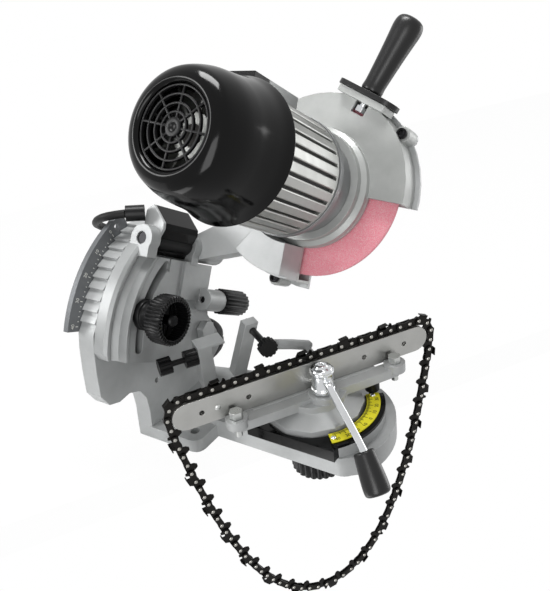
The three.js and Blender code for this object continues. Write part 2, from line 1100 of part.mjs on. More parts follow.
// Hinge bolt through the ears and the swing arm, its nut, and the return spring round it
const hingeAt = [hinge.x, 0, hinge.n];
piece(
  tilted,
  "hinge_bolt",
  join(
    disc(
      hinge.boltRadius,
      hinge.nearTo - hinge.nutThick - gap,
      hinge.farTo - hinge.boltShort,
      alongShaft,
      hingeAt,
      smallSides,
    ),
    hexagon(hinge.nutFlats, hinge.nearTo - hinge.nutThick - gap, hinge.nearTo - gap, alongShaft, hingeAt),
  ),
  zinc,
);
const springFrom = hinge.armTo + hinge.midEar + gap;
piece(
  tilted,
  "return_spring",
  ring(
    hinge.boltRadius + gap,
    hinge.springRadius,
    springFrom,
    hinge.farFrom - hinge.capThick - overrun,
    alongShaft,
    hingeAt,
    smallSides,
  ),
  zinc,
);

// Hinge cover: a black prism over the spring, closed by a grey cap
const coverOutline = hinge.coverPoints;
const coverFrom = hinge.armTo + hinge.midEar + gap;
const coverTo = hinge.farFrom - hinge.capThick - 2 * gap;
const insetCover = coverOutline.map(([x, n]) => [
  hinge.x + (x - hinge.x) * insetShare,
  hinge.coverMiddle + (n - hinge.coverMiddle) * insetShare,
]);
const coverWell = disc(
  hinge.springRadius + gap,
  coverFrom - overrun,
  coverTo + overrun,
  alongShaft,
  hingeAt,
  smallSides,
);
piece(
  tilted,
  "hinge_cover",
  cut(
    extruded(coverOutline, coverFrom, coverTo, alongShaft),
    extruded(insetCover, coverFrom - overrun, coverTo - hinge.capThick, alongShaft),
    coverWell,
  ),
  blackPlastic,
);
piece(
  tilted,
  "hinge_cover_cap",
  cut(
    extruded(coverOutline, coverTo + gap, coverTo + gap + hinge.capThick, alongShaft),
    disc(hinge.boltRadius + gap, coverTo, hinge.farFrom + overrun, alongShaft, hingeAt, smallSides),
  ),
  castGrey,
);

// Head: swing arm, guard, motor and handle
const head = new THREE.Group();
tilted.add(head);
const shaftGroup = new THREE.Group();
shaftGroup.position.set(wheel.x, 0, wheel.n);
head.add(shaftGroup);

const spin = (outline, from, to) => extruded(outline, from, to, alongShaft);
const around = (profile, sides = fineSides) => turned(profile, alongShaft, [0, 0, 0], sides);
const peg = (radius, from, to, at = [0, 0], sides = smallSides) => disc(
  radius,
  from,
  to,
  alongShaft,
  [at[0], 0, at[1]],
  sides,
);
const wedge = (inner, outer, from, to, low, high) =>
  spin([...arcPoints(outer, from, to, 12), ...arcPoints(inner, to, from, 12)], low, high);

function swingArm() {
  const g = guard;
  const pin = [hinge.x - wheel.x, hinge.n - wheel.n];
  const barrel = peg(arm.barrelRadius, hinge.nearTo, hinge.armTo, pin, midSides);
  const web = spin(
    [
      ...arcPoints(g.blockOuter, g.blockFrom, g.blockTo, 8),
      [pin[0] + arm.barrelRadius * webUnderShare, pin[1] - arm.barrelRadius * webLowShare],
      pin,
      [pin[0] + arm.barrelRadius * webOverShare, pin[1] + arm.barrelRadius * webHighShare],
      [-g.blockOuter * armCrestShare, -g.blockInner * armCrestRiseShare],
      ...arcPoints(g.blockInner, g.blockTo - degrees(20), g.blockFrom, 8),
    ],
    g.front + gap,
    hinge.armTo,
  );
  const block = spin(
    [
      ...arcPoints(g.blockOuter - overrun, g.blockFrom, g.blockTo, 8),
      ...arcPoints(g.blockInner, g.blockTo, g.blockFrom, 8),
    ],
    hinge.armTo - overrun,
    g.blockTop,
  );
  return cut(
    join(barrel, web, block),
    peg(arm.boreRadius, hinge.nearTo - overrun, hinge.armTo + overrun, pin),
  );
}
piece(shaftGroup, "swing_arm", swingArm(), castGrey);

const guardBosses = guardBossAngles.map((angle) => polar(guard.bossAt, angle));
const handleAxis = polar(1, handle.angle);
const handleSide = [handleAxis[1], -handleAxis[0]];
const onHandle = (out, across) => [0, 1].map((i) => handleAxis[i] * out + handleSide[i] * across);
const handleBlock = (outFrom, outTo, long, low, high) =>
  spin(
    [
      onHandle(outFrom, -half(long)),
      onHandle(outFrom, half(long)),
      onHandle(outTo, half(long)),
      onHandle(outTo, -half(long)),
    ],
    low,
    high,
  );
const handleRod = (radiusFrom, radiusTo, outFrom, outTo, sides = smallSides) => {
  const [a, b] = [onHandle(outFrom, 0), onHandle(outTo, 0)];
  return rod([a[0], -handle.m, a[1]], [b[0], -handle.m, b[1]], radiusFrom, radiusTo, sides);
};

function guardCasting() {
  const g = guard;
  const shell = around([
    [g.radius, g.rear],
    [g.radius, g.front],
    [g.stepRadius, g.front],
    [g.stepRadius, g.stepTop],
    [g.crestRadius, g.stepTop + g.faceThick],
    [g.crestRadius, g.crestTop],
    [g.throat, g.crestTop],
    [g.throat, g.crestTop - g.faceThick],
    [g.crestRadius - g.faceThick, g.crestTop - g.faceThick],
    [g.crestRadius - g.faceThick, g.stepTop],
    [g.stepRadius - g.faceThick, g.stepTop - g.faceThick],
    [g.stepRadius - g.faceThick, g.front - g.faceThick],
    [g.radius - g.wall, g.front - g.faceThick],
    [g.radius - g.wall, g.rear],
    [g.radius, g.rear],
  ]);
  const lug = handleBlock(
    g.radius - g.wall,
    handle.lugTop,
    handle.lugLong,
    handle.m - half(handle.plateWide) + overrun,
    handle.m + half(handle.plateWide) - overrun,
  );
  const bosses = guardBosses.map((at) => peg(g.bossRadius, g.rear, g.bossTop, at));
  const notch = handleBlock(
    handle.boltBase - overrun,
    g.radius - g.wall,
    hexCorner(handle.boltFlats) * 2 + overrun,
    g.faceThick,
    g.front + overrun,
  );
  return cut(
    join(shell, lug, ...bosses),
    wedge(
      g.stepRadius + gap,
      g.bossAt + handle.lugTop,
      g.openFrom,
      g.openTo,
      g.rear - overrun,
      g.front + overrun,
    ),
    peg(g.radius - g.wall, g.rear - overrun, g.front - g.faceThick, [0, 0], fineSides),
    notch,
    handleRod(handle.boltRadius + gap, handle.boltRadius + gap, handle.boltBase, handle.lugTop + overrun),
    ...guardBosses.map((at) => peg(g.screwRadius + gap, g.rear - overrun, g.bossTop + overrun, at)),
  );
}
piece(shaftGroup, "wheel_guard", guardCasting(), castSatin);

const coverFace = guard.rear - gap;
function rearCoverSolid() {
  const r = rearCover;
  const shell = around([
    [0, coverFace - r.thick - r.domeDeep],
    [r.domeRadius - r.thick, coverFace - r.thick - r.domeDeep],
    [r.domeRadius, coverFace - r.thick],
    [r.radius, coverFace - r.thick],
    [r.radius, coverFace],
    [r.domeRadius - r.thick, coverFace],
    [r.domeRadius - 2 * r.thick, coverFace - r.domeDeep],
    [0, coverFace - r.domeDeep],
  ]);
  return cut(
    join(shell, ...guardBosses.map((at) => peg(guard.bossRadius, coverFace - r.thick, coverFace, at))),
    wedge(
      guard.stepRadius + gap,
      guard.bossAt + r.radius,
      guard.openFrom,
      guard.openTo,
      coverFace - r.thick - overrun,
      guard.rear,
    ),
    ...guardBosses.map((at) => peg(guard.screwRadius + gap, coverFace - r.thick - overrun, guard.rear, at)),
  );
}
piece(shaftGroup, "rear_guard_cover", rearCoverSolid(), castSatin);

// Handle on the guard's lug
const plateBase = handle.lugTop + gap;
function handlePlate() {
  const reach = half(handle.plateLong - handle.plateWide);
  const shape = new THREE.Shape();
  shape.absarc(reach, 0, half(handle.plateWide), -degrees(90), degrees(90));
  shape.absarc(-reach, 0, half(handle.plateWide), degrees(90), degrees(270));
  const frame = new THREE.Matrix4().makeBasis(
    new THREE.Vector3(handleSide[0], 0, handleSide[1]),
    axisY,
    new THREE.Vector3(-handleAxis[0], 0, -handleAxis[1]),
  );
  const [x, z] = onHandle(plateBase, 0);
  const slab = extruded(shape, -handle.plateThick, 0, frame, [x, -handle.m, z]);
  return cut(
    slab,
    handleRod(
      handle.boltRadius + gap,
      handle.boltRadius + gap,
      handle.lugTop,
      plateBase + handle.plateThick + overrun,
    ),
  );
}
piece(shaftGroup, "handle_plate", handlePlate(), blackPlastic);
const gripBase = plateBase + handle.plateThick + gap;
const gripNeck = gripBase + (handle.gripEnd - gripBase) * gripNeckShare;
piece(
  shaftGroup,
  "handle_grip",
  cut(
    join(
      handleRod(handle.gripFoot, handle.gripMiddle, gripBase, gripNeck, midSides),
      handleRod(
        handle.gripMiddle,
        handle.gripHead,
        gripNeck - gap,
        handle.gripEnd - handle.gripFoot,
        midSides,
      ),
      handleRod(
        handle.gripHead,
        handle.gripMiddle,
        handle.gripEnd - handle.gripFoot - gap,
        handle.gripEnd,
        midSides,
      ),
    ),
    handleRod(handle.boltRadius + gap, handle.boltRadius + gap, handle.lugTop, gripNeck),
  ),
  blackPlastic,
);
piece(
  shaftGroup,
  "handle_bolt",
  join(
    handleRod(handle.boltRadius, handle.boltRadius, handle.boltBase + gap, gripNeck - gap),
    handleRod(
      hexCorner(handle.boltFlats),
      hexCorner(handle.boltFlats),
      handle.boltBase + gap,
      handle.boltBase + handle.boltThick,
      6,
    ),
  ),
  chrome,
);

// Motor
const shieldFrom = guard.crestTop + gap;
piece(
  shaftGroup,
  "motor_front_shield",
  around([
    [motor.bearingRadius + gap, shieldFrom],
    [motor.neckRadius, shieldFrom],
    [motor.neckRadius, motor.neckTop],
    [motor.flangeRadius, motor.flangeFrom],
    [motor.flangeRadius, motor.flangeTo],
    [motor.finRadius - motor.bodyWall, motor.flangeTo],
    [motor.finRadius - motor.bodyWall, motor.neckTop],
    [motor.bearingRadius + gap, motor.neckTop],
    [motor.bearingRadius + gap, shieldFrom],
  ]),
  castGrey,
);
const bodyFrom = motor.flangeTo + gap;
function statorHousing() {
  const outline = [];
  for (let i = 0; i < motor.finCount; i += 1) {
    for (const [share, depth] of [[0, 0], [finShare, 0], [finShare, motor.finDepth], [1, motor.finDepth]]) {
      const angle = degrees((360 * (i + share + finPhaseShare)) / motor.finCount);
      outline.push(polar(motor.finRadius - depth, angle));
    }
  }
  const fins = spin(outline, bodyFrom, motor.bodyTo);
  const bore = peg(
    motor.finRadius - motor.bodyWall,
    bodyFrom - overrun,
    motor.bodyTo + overrun,
    [0, 0],
    fineSides,
  );
  const collar = around([
    [motor.finRadius - motor.bodyWall, bodyFrom],
    [motor.finRadius, bodyFrom],
    [motor.finRadius, bodyFrom + motor.bodyWall],
    [motor.finRadius - motor.bodyWall, bodyFrom + motor.bodyWall],
    [motor.finRadius - motor.bodyWall, bodyFrom],
  ]);
  return join(cut(fins, bore), collar);
}
piece(shaftGroup, "stator_housing", statorHousing(), aluminium);
piece(
  shaftGroup,
  "stator_core",
  ring(
    motor.statorInner,
    motor.finRadius - motor.bodyWall - gap,
    bodyFrom + motor.bodyWall,
    motor.bodyTo - motor.bodyWall,
    alongShaft,
  ),
  darkSteel,
);

const shellFrom = motor.bodyTo + gap;
function fanCover() {
  const outer = fanCoverShares.map(([rShare, alongShare]) => [
    motor.finRadius * rShare,
    shellFrom + (motor.coverTo - shellFrom) * alongShare,
  ]);
  const lip = motor.grilleRadius + gap;
  const inner = outer.map(([r, m]) => [r - motor.coverWall, m]).reverse();
  inner[0][1] -= motor.coverWall;
  return around(
    [
      ...outer,
      [lip, motor.coverTo - motor.coverWall * lipShare],
      [lip, motor.grilleAt - overrun],
      ...inner.slice(1),
      outer[0],
    ],
  );
}
piece(shaftGroup, "fan_cover", fanCover(), glossBlack);
piece(
  shaftGroup,
  "motor_rear_shield",
  ring(motor.bearingRadius + gap, motor.finRadius, shellFrom, shellFrom + motor.bearingThick, alongShaft),
  castGrey,
);

function grille() {
  const low = motor.grilleAt;
  const high = low + motor.grilleThick;
  const hoop = (radius) => ring(radius - motor.grilleThick, radius, low, high, alongShaft);
  const spokes = [0, 45, 90, 135].map((turn) => {
    const [c, s] = polar(motor.grilleRadius - gap, degrees(turn) + grillePhase);
    const [u, v] = polar(half(motor.grilleThick), degrees(turn + 90) + grillePhase);
    return spin([[c + u, s + v], [-c + u, -s + v], [-c - u, -s - v], [c - u, s - v]], low, high);
  });
  const hoops = grilleShares.map((share) => hoop(motor.grilleRadius * share));
  const hub = peg(motor.grilleRadius * hubShare, low, high);
  return join(hoops[0], hoops[1], hoops[2], ...spokes, hub);
}
piece(shaftGroup, "fan_grille", grille(), blackPlastic);

const bearings = [
  ["front_bearing", motor.neckTop - motor.bearingThick],
  ["rear_bearing", shellFrom],
];
for (const [name, from] of bearings) {
  piece(
    shaftGroup,
    name,
    ring(motor.shaftRadius + gap, motor.bearingRadius, from, from + motor.bearingThick - gap, alongShaft),
    zinc,
  );
}

// Rotor: shaft, rotor core, fan, flanges, nut and grinding wheel
const wheelHalf = half(wheel.thick);
const shaftTo = motor.grilleAt - motor.fanThick;
const fanFrom = shaftTo - motor.fanThick - gap;
const nutAt = -wheelHalf - 2 * gap - wheel.flangeThick;
piece(
  shaftGroup,
  "rotor_shaft",
  peg(motor.shaftRadius, nutAt - gap - wheel.nutThick, shaftTo, [0, 0], smallSides),
  darkSteel,
);
const bored = (shape, from, to) => cut(shape, peg(motor.shaftRadius + gap, from - overrun, to + overrun));
piece(
  shaftGroup,
  "rotor_core",
  bored(
    peg(
      motor.rotorRadius,
      bodyFrom + 2 * motor.bodyWall,
      motor.bodyTo - 2 * motor.bodyWall,
      [0, 0],
      midSides,
    ),
    bodyFrom,
    motor.bodyTo,
  ),
  darkSteel,
);
function coolingFan() {
  const plate = peg(motor.fanRadius, fanFrom, fanFrom + motor.fanBladeThick, [0, 0], midSides);
  const hub = peg(motor.shaftRadius * 2, fanFrom, fanFrom + motor.fanThick);
  const blades = [];
  for (let i = 0; i < motor.fanBlades; i += 1) {
    const angle = degrees((360 * i) / motor.fanBlades);
    const [c, s] = polar(motor.fanRadius, angle);
    const [u, v] = polar(half(motor.fanBladeThick), angle + degrees(90));
    blades.push(
      spin([[u, v], [c + u, s + v], [c - u, s - v], [-u, -v]], fanFrom, fanFrom + motor.fanThick),
    );
  }
  return bored(join(plate, hub, ...blades), fanFrom, fanFrom + motor.fanThick);
}
piece(shaftGroup, "cooling_fan", coolingFan(), blackPlastic);
const disk = (name, radius, from, to, material, sides = midSides) =>
  piece(shaftGroup, name, bored(peg(radius, from, to, [0, 0], sides), from, to), material);
disk("inner_flange", wheel.flangeRadius, wheelHalf + gap, wheelHalf + gap + wheel.flangeThick, zinc);
disk("outer_flange", wheel.flangeRadius, nutAt, nutAt + wheel.flangeThick, zinc);
disk("grinding_wheel", wheel.radius, -wheelHalf, wheelHalf, wheelPink, fineSides);
piece(
  shaftGroup,
  "arbor_nut",
  bored(
    peg(hexCorner(wheel.nutFlats), nutAt - gap - wheel.nutThick, nutAt - gap, [0, 0], 6),
    nutAt - wheel.nutThick,
    nutAt,
  ),
  zinc,
);

// Switch box on the motor, with its cap, rocker and capacitor
const boxBase = motor.finRadius + 2 * gap;
const tray = (from, to, inset, low, high) =>
  box([switchBox.left + inset, -to + inset, low], [switchBox.right - inset, -from - inset, high]);
piece(
  shaftGroup,
  "switch_box",
  cut(
    tray(switchBox.from, switchBox.to, 0, boxBase, switchBox.top),
    tray(switchBox.from, switchBox.to, switchBox.wall, boxBase - overrun, switchBox.top - switchBox.wall),
  ),
  castGrey,
);
const capFrom = switchBox.to + gap;
const rockerMiddle = capFrom + half(switchBox.capLong);
const rockerX = half(switchBox.left + switchBox.right);
const rockerWell = (grow, low, high) =>
  box(
    [rockerX - half(switchBox.rockerWide) - grow, -rockerMiddle - half(switchBox.rockerLong) - grow, low],
    [rockerX + half(switchBox.rockerWide) + grow, -rockerMiddle + half(switchBox.rockerLong) + grow, high],
  );
piece(
  shaftGroup,
  "switch_cap",
  cut(
    tray(capFrom, capFrom + switchBox.capLong, 0, boxBase, switchBox.top),
    tray(
      capFrom,
      capFrom + switchBox.capLong,
      switchBox.wall,
      boxBase - overrun,
      switchBox.top - switchBox.wall,
    ),
    rockerWell(switchBox.rockerPlay, boxBase, switchBox.top + overrun),
  ),
  blackPlastic,
);
function rocker() {
  const reach = half(switchBox.rockerLong) - gap;
  const outline = [
    [-reach, switchBox.top + switchBox.rockerProud],
    [0, switchBox.top + half(switchBox.rockerProud)],
    [reach, switchBox.top],
    [half(reach), switchBox.top - switchBox.rockerDeep],
    [-half(reach), switchBox.top - switchBox.rockerDeep],
  ].map(([m, n]) => [-rockerMiddle - m, n]);
  return extruded(
    outline,
    rockerX - half(switchBox.rockerWide),
    rockerX + half(switchBox.rockerWide),
    alongX,
  );
}
piece(shaftGroup, "switch_rocker", rocker(), redPlastic);
piece(
  shaftGroup,
  "run_capacitor",
  disc(
    switchBox.capacitorRadius,
    switchBox.from + switchBox.wall + gap,
    switchBox.from + switchBox.capacitorLong,
    alongShaft,
    [rockerX, 0, boxBase + gap + switchBox.capacitorRadius],
    smallSides,
  ),
  aluminium,
);

// Vise: local X points off the rail towards the operator, local Y runs along the rail
const vise = new THREE.Group();
vise.position.set(turntable.x, turntable.y, 0);
vise.rotation.z = turntable.angle;
sharpener.add(vise);

const alongRail = new THREE.Matrix4().makeBasis(axisY, axisZ, axisX);
const acrossRail = (outline, from, to) => extruded(outline, from, to, alongRail);
const upFrom = (radius, from, to, off, run, sides = smallSides) => disc(
  radius,
  from,
  to,
  upright,
  [off, run, 0],
  sides,
);
const earAts = [["left", -ear.along], ["right", ear.along]];
const seatTop = rail.bottom - gap;

function turntableCasting() {
  const t = turntable;
  const skirt = turned(
    [
      [0, t.padTop + gap],
      [t.skirtRadius, t.padTop + gap],
      [t.skirtRadius, t.skirtTop],
      [t.deckRadius, t.deckTop - t.deckSlope],
      [t.deckRadius, t.deckTop],
      [0, t.deckTop],
    ],
    upright,
    [0, 0, 0],
    t.skirtSides,
  );
  const beamInner = ear.off - half(ear.beamWidth);
  const beam = acrossRail(
    [
      [-ear.along, ear.beamTop],
      [ear.along, ear.beamTop],
      [ear.along, ear.beamTop - ear.thick],
      [t.skirtRadius, ear.beamBottom],
      [-t.skirtRadius, ear.beamBottom],
      [-ear.along, ear.beamTop - ear.thick],
    ],
    beamInner,
    ear.off + half(ear.beamWidth),
  );
  const seat = box(
    [-rail.groove - rail.thick - t.seatLedge, -t.seatHalf, t.deckTop - overrun],
    [beamInner + overrun, t.seatHalf, seatTop],
  );
  const ears = earAts.map(
    ([, run]) => upFrom(ear.radius, ear.top - ear.thick, ear.top, ear.off, run, midSides),
  );
  const pad = upFrom(clamp.padRadius, t.skirtTop - overrun, clamp.padTop, clamp.off, clamp.along, midSides);
  const ridge = box(
    [t.deckRadius - overrun, -half(t.ridgeWide), t.padTop + gap + overrun],
    [t.skirtRadius, half(t.ridgeWide), t.skirtTop + t.ridgeRise],
  );
  const railClear = rail.groove + rail.thick + frontJaw.travel + gap;
  return cut(
    join(skirt, beam, seat, pad, ridge, ...ears),
    box([-rail.groove - rail.thick, rail.from, seatTop], [railClear, rail.to, ear.top + overrun]),
    upFrom(turntableStud.radius + gap, t.padTop - overrun, turntableStud.top + gap, 0, 0),
    ...earAts.map(
      ([, run]) => upFrom(ear.boltRadius + gap, ear.beamBottom - overrun, ear.top + overrun, ear.off, run),
    ),
  );
}
piece(vise, "turntable_casting", turntableCasting(), castGrey);
piece(
  vise,
  "turntable_stud",
  upFrom(turntableStud.radius, turntableStud.bottom, turntableStud.top, 0, 0),
  zinc,
);
piece(
  vise,
  "turntable_lock_knob",
  cut(
    join(
      knurled(
        lowerKnob.radius,
        lowerKnob.fluteDepth,
        lowerKnob.flutes,
        lowerKnob.bottom,
        lowerKnob.top,
        upright,
      ),
      upFrom(lowerKnob.collar, lowerKnob.top - overrun, -gap, 0, 0, midSides),
    ),
    upFrom(turntableStud.radius + gap, turntableStud.bottom - gap, overrun, 0, 0),
    upFrom(
      lowerKnob.radius - lowerKnob.rim,
      lowerKnob.bottom - overrun,
      lowerKnob.bottom + lowerKnob.recess,
      0,
      0,
      midSides,
    ),
  ),
  blackPlastic,
);

// Rail: two plates that hold the chain's drive links between them
const railMiddle = half(rail.top + rail.bottom);
const railRound = half(rail.top - rail.bottom);
const railPlate = (low, high) =>
  cut(
    roundedBar(
      [rail.from + railRound, railMiddle],
      [rail.to - railRound, railMiddle],
      railRound,
      low,
      high,
      alongRail,
    ),
    ...railHoleShares.map((share) =>
      disc(
        rail.holeRadius,
        low - overrun,
        high + overrun,
        alongRail,
        [0, share * rail.to, rail.holeHeight],
        smallSides,
      ),
    ),
  );
piece(vise, "rear_jaw", railPlate(-rail.groove - rail.thick, -rail.groove), steelPlate);
piece(vise, "front_jaw", railPlate(rail.groove, rail.groove + rail.thick), steelPlate);
earAts.forEach(([name, run]) => {
  const nutFrom = ear.top + gap;
  piece(
    vise,
    "ear_bolt_" + name,
    join(
      upFrom(ear.boltRadius, ear.boltBottom, nutFrom + overrun, ear.off, run),
      upFrom(hexCorner(ear.nutFlats), nutFrom, nutFrom + ear.nutThick, ear.off, run, 6),
    ),
    zinc,
  );
});

// Clamp: the hub is an eccentric on a fixed post
const camAngle = degrees(180 - 45);
const camThrow = polar(clamp.camOffset, camAngle);
const camRadius = clamp.off - rail.groove - rail.thick - gap + camThrow[0];
piece(
  vise,
  "clamp_post",
  join(
    upFrom(clamp.postRadius, clamp.padTop + gap, clamp.camTo - gap, clamp.off, clamp.along),
    upFrom(clamp.postRadius * 2, clamp.padTop + gap, clamp.camFrom - gap, clamp.off, clamp.along),
  ),
  zinc,
);
const hubAt = [clamp.off, clamp.along];
const gripFrom = [clamp.gripOff, clamp.gripAlong, clamp.gripHeight];
const gripTo = [clamp.gripEndOff, clamp.gripEndAlong, clamp.gripEndHeight];
const between = (a, b, share) => a.map((value, i) => value + (b[i] - value) * share);
const hubCentre = [hubAt[0], hubAt[1], clamp.rodHeight];
piece(
  vise,
  "clamp_hub",
  cut(
    join(
      upFrom(
        camRadius,
        clamp.camFrom,
        clamp.camTo,
        hubAt[0] + camThrow[0],
        hubAt[1] + camThrow[1],
        midSides,
      ),
      upFrom(clamp.capRadius, clamp.camTo - overrun, clamp.capTop, hubAt[0], hubAt[1], midSides),
    ),
    upFrom(clamp.postRadius + gap, clamp.camFrom - overrun, clamp.camTo, hubAt[0], hubAt[1]),
    rod(between(hubCentre, gripFrom, clamp.rodSeatShare), gripFrom, clamp.rodRadius + gap),
  ),
  chrome,
);
piece(
  vise,
  "clamp_rod",
  rod(
    between(hubCentre, gripFrom, clamp.rodSeatShare + playShare),
    between(gripFrom, gripTo, gripFootShare),
    clamp.rodRadius,
  ),
  chrome,
);
piece(
  vise,
  "clamp_grip",
  cut(
    join(
      rod(gripFrom, between(gripFrom, gripTo, gripFootShare), clamp.gripFoot, clamp.gripRadius),
      rod(
        between(gripFrom, gripTo, gripFootShare - playShare),
        between(gripFrom, gripTo, gripHeadShare),
        clamp.gripRadius,
      ),
      rod(between(gripFrom, gripTo, gripHeadShare - playShare), gripTo, clamp.gripRadius, clamp.gripFoot),
    ),
    rod(
      between(hubCentre, gripFrom, clamp.rodSeatShare),
      between(gripFrom, gripTo, gripFootShare + playShare),
      clamp.rodRadius + gap,
    ),
  ),
  blackPlastic,
);

// Saw chain: its top run lies in the rail, and the loop hangs as a catenary
function chainLine(reach) {
  const points = [];
  const turnHigh = rail.top + gap + half(chain.height) + chain.seat;
  const bend = turnHigh - railMiddle;
  const left = rail.from + railRound + chain.leftShift;
  const right = rail.to - railRound + chain.rightShift;
  points.push(...arcPoints(bend + reach, degrees(180), degrees(90), 6, [left, railMiddle]));
  points.push(...arcPoints(bend + reach, degrees(90), 0, 6, [right, railMiddle]));
  for (let i = 1; i < chain.steps; i += 1) {
    const share = 1 - (2 * i) / chain.steps;
    const spread = chain.loopSpread * share;
    const slope = Math.sinh(spread / chain.loopSag);
    const tilt = Math.hypot(1, slope);
    points.push([
      chain.loopMiddle + spread + (reach * slope) / tilt,
      chain.loopLow + chain.loopSag * (Math.cosh(spread / chain.loopSag) - 1) - reach / tilt,
    ]);
  }
  return points;
}
function sawChain() {
  const outer = chainLine(half(chain.height));
  const inner = chainLine(-half(chain.height));
  const shell = acrossRail(outer, -half(chain.width), half(chain.width));
  return cut(shell, acrossRail(inner, -chain.width, chain.width));
}
piece(vise, "saw_chain", sawChain(), darkSteel);

// Chain stop behind the rail
const s = chainStop;
const stopFace = -s.off;
function stopBracket() {
  const plate = box([stopFace - s.depth, s.left, s.top - s.sheet], [stopFace, s.right, s.top]);
  const front = box([stopFace - s.sheet, s.left, s.foot], [stopFace, s.left + s.flange, s.top]);
  const end = box([stopFace - s.depth, s.left, s.foot + s.sheet], [stopFace, s.left + s.sheet, s.top]);
  const sole = box(
    [stopFace - s.depth, s.left, s.foot],
    [-rail.groove - rail.thick - gap, s.postRight + s.sheet, s.foot + s.sheet * 2],
  );
  return cut(
    join(plate, front, end, sole),
    disc(
      s.screwRadius + gap,
      s.left - overrun,
      s.left + s.sheet + overrun,
      alongY,
      [s.screwOff, 0, s.screwHeight],
      smallSides,
    ),
  );
}
const screwAt = [s.screwOff, 0, s.screwHeight];
piece(
  vise,
  "stop_adjust_screw",
  join(
    disc(s.screwRadius, s.knobFrom, s.left + s.screwReach, alongY, screwAt, smallSides),
    knurled(s.knobRadius, s.knobFlute, s.knobFlutes, s.knobFrom, s.knobFrom + s.knobLong, alongY, screwAt),
    knurled(
      s.knobRadius,
      s.knobFlute,
      s.knobFlutes,
      s.left - gap - s.knobLong,
      s.left - gap,
      alongY,
      screwAt,
    ),
  ),
  blackPlastic,
);
const lean = (share) => [
  s.postFoot + (s.postHead - s.postFoot) * share,
  s.foot + (s.postTop - s.foot) * share,
];
function stopPost() {
  const [footRun, footZ] = lean(0);
  const [headRun, headZ] = lean(1);
  const base = footZ + s.sheet;
  return acrossRail(
    [
      [footRun, base],
      [footRun + s.postWide, base],
      [headRun + s.postWide, headZ],
      [headRun, headZ],
    ],
    stopFace - s.postDeep - s.sheet,
    stopFace - s.sheet - gap,
  );
}
const pinAt = [0, s.postHead + half(s.postWide) - s.pinInset, s.postTop - s.pinDrop];
piece(
  vise,
  "stop_bracket",
  cut(
    join(stopBracket(), stopPost()),
    disc(s.pinRadius + gap, stopFace - s.postDeep - s.depth, 0, alongX, pinAt, smallSides),
  ),
  castGrey,
);

// Finger: swings on the pin and rests behind the chain's top run
function stopFinger() {
  const [, run, height] = pinAt;
  const tip = [run + s.fingerReach, rail.top + gap + half(s.fingerThick)];
  const knee = [run + s.fingerReach * kneeShare, height - s.fingerDrop];
  const from = s.fingerOff - s.fingerThick;
  const leaf = (a, b, low, high) => roundedBar(a, b, half(s.fingerWide), low, high, alongRail);
  const arm = join(
    leaf([run, height], knee, from, s.fingerOff),
    leaf(knee, [tip[0], tip[1] + half(s.fingerWide)], from, s.fingerOff),
  );
  const toe = box(
    [from, tip[0] - half(s.fingerWide), tip[1]],
    [-half(chain.width) - gap, tip[0] + half(s.fingerWide) - s.fingerThick, tip[1] + s.fingerThick],
  );
  return cut(
    join(arm, toe),
    disc(s.pinRadius + gap, from - overrun, s.fingerOff + overrun, alongX, pinAt, smallSides),
  );
}
piece(vise, "stop_finger", stopFinger(), castGrey);
piece(
  vise,
  "stop_knob",
  join(
    knurled(
      s.frontKnobRadius,
      s.knobFlute,
      s.knobFlutes,
      s.fingerOff + gap,
      s.fingerOff + gap + s.frontKnobLong,
      alongX,
      pinAt,
    ),
    disc(
      s.pinRadius,
      stopFace - s.postDeep - s.sheet * 2,
      s.fingerOff + gap + overrun,
      alongX,
      pinAt,
      smallSides,
    ),
    disc(
      s.pinRadius * 2,
      stopFace - s.postDeep - s.sheet * 2 - gap,
      stopFace - s.postDeep - s.sheet - gap,
      alongX,
      pinAt,
      smallSides,
    ),
  ),
  blackPlastic,
);

// Small black knob beside the scale
piece(
  sharpener,
  "scale_lock_knob",
  join(
    disc(
      scaleKnob.radius,
      scaleKnob.from,
      scaleKnob.from + scaleKnob.tall,
      upright,
      [scaleKnob.x, scaleKnob.y, 0],
      midSides,
    ),
    disc(
      half(scaleKnob.radius),
      platform.height + gap,
      scaleKnob.from + overrun,
      upright,
      [scaleKnob.x, scaleKnob.y, 0],
      smallSides,
    ),
  ),
  blackPlastic,
);

// Mains cord: a sleeve in the hinge cover, a bend on the bracket, a run behind the plate, a coil and a plug
function tube(points, radius, steps, sides = 12) {
  const path = new THREE.CatmullRomCurve3(
    points.map((point) => new THREE.Vector3(...point)),
    false,
    "centripetal",
  );
  const section = new THREE.Shape(
    arcPoints(radius, 0, degrees(360 - 360 / sides), sides - 1).map(([u, v]) => new THREE.Vector2(u, v)),
  );
  const geometry = new THREE.ExtrudeGeometry(section, { steps, bevelEnabled: false, extrudePath: path });
  return solid(geometry);
}
const sleeveStart = cordPoints[0];
const sleeveEnd = cordPoints[1];
piece(
  sharpener,
  "cord_lower",
  tube(cordPoints.slice(cordSplit), half(cord.diameter), 34, tubeSides),
  cordBlack,
);
const tiltedFrame = new THREE.Matrix4()
  .makeRotationX(-tilt.restAngle)
  .setPosition(0, 0, tilt.height)
  .invert();
const intoTilted = (point) => new THREE.Vector3(...point).applyMatrix4(tiltedFrame).toArray();
piece(
  tilted,
  "cord_sleeve",
  cut(
    rod(intoTilted(sleeveStart), intoTilted(sleeveEnd), sleeve.radius),
    rod(
      intoTilted(between(sleeveStart, sleeveEnd, sleeveBoreShare)),
      intoTilted(cordPoints[2]),
      half(cord.diameter) + gap,
    ),
  ),
  blackPlastic,
);
piece(
  tilted,
  "cord_upper",
  tube(cordPoints.slice(1, cordSplit).map(intoTilted), half(cord.diameter), 8, tubeSides),
  cordBlack,
);
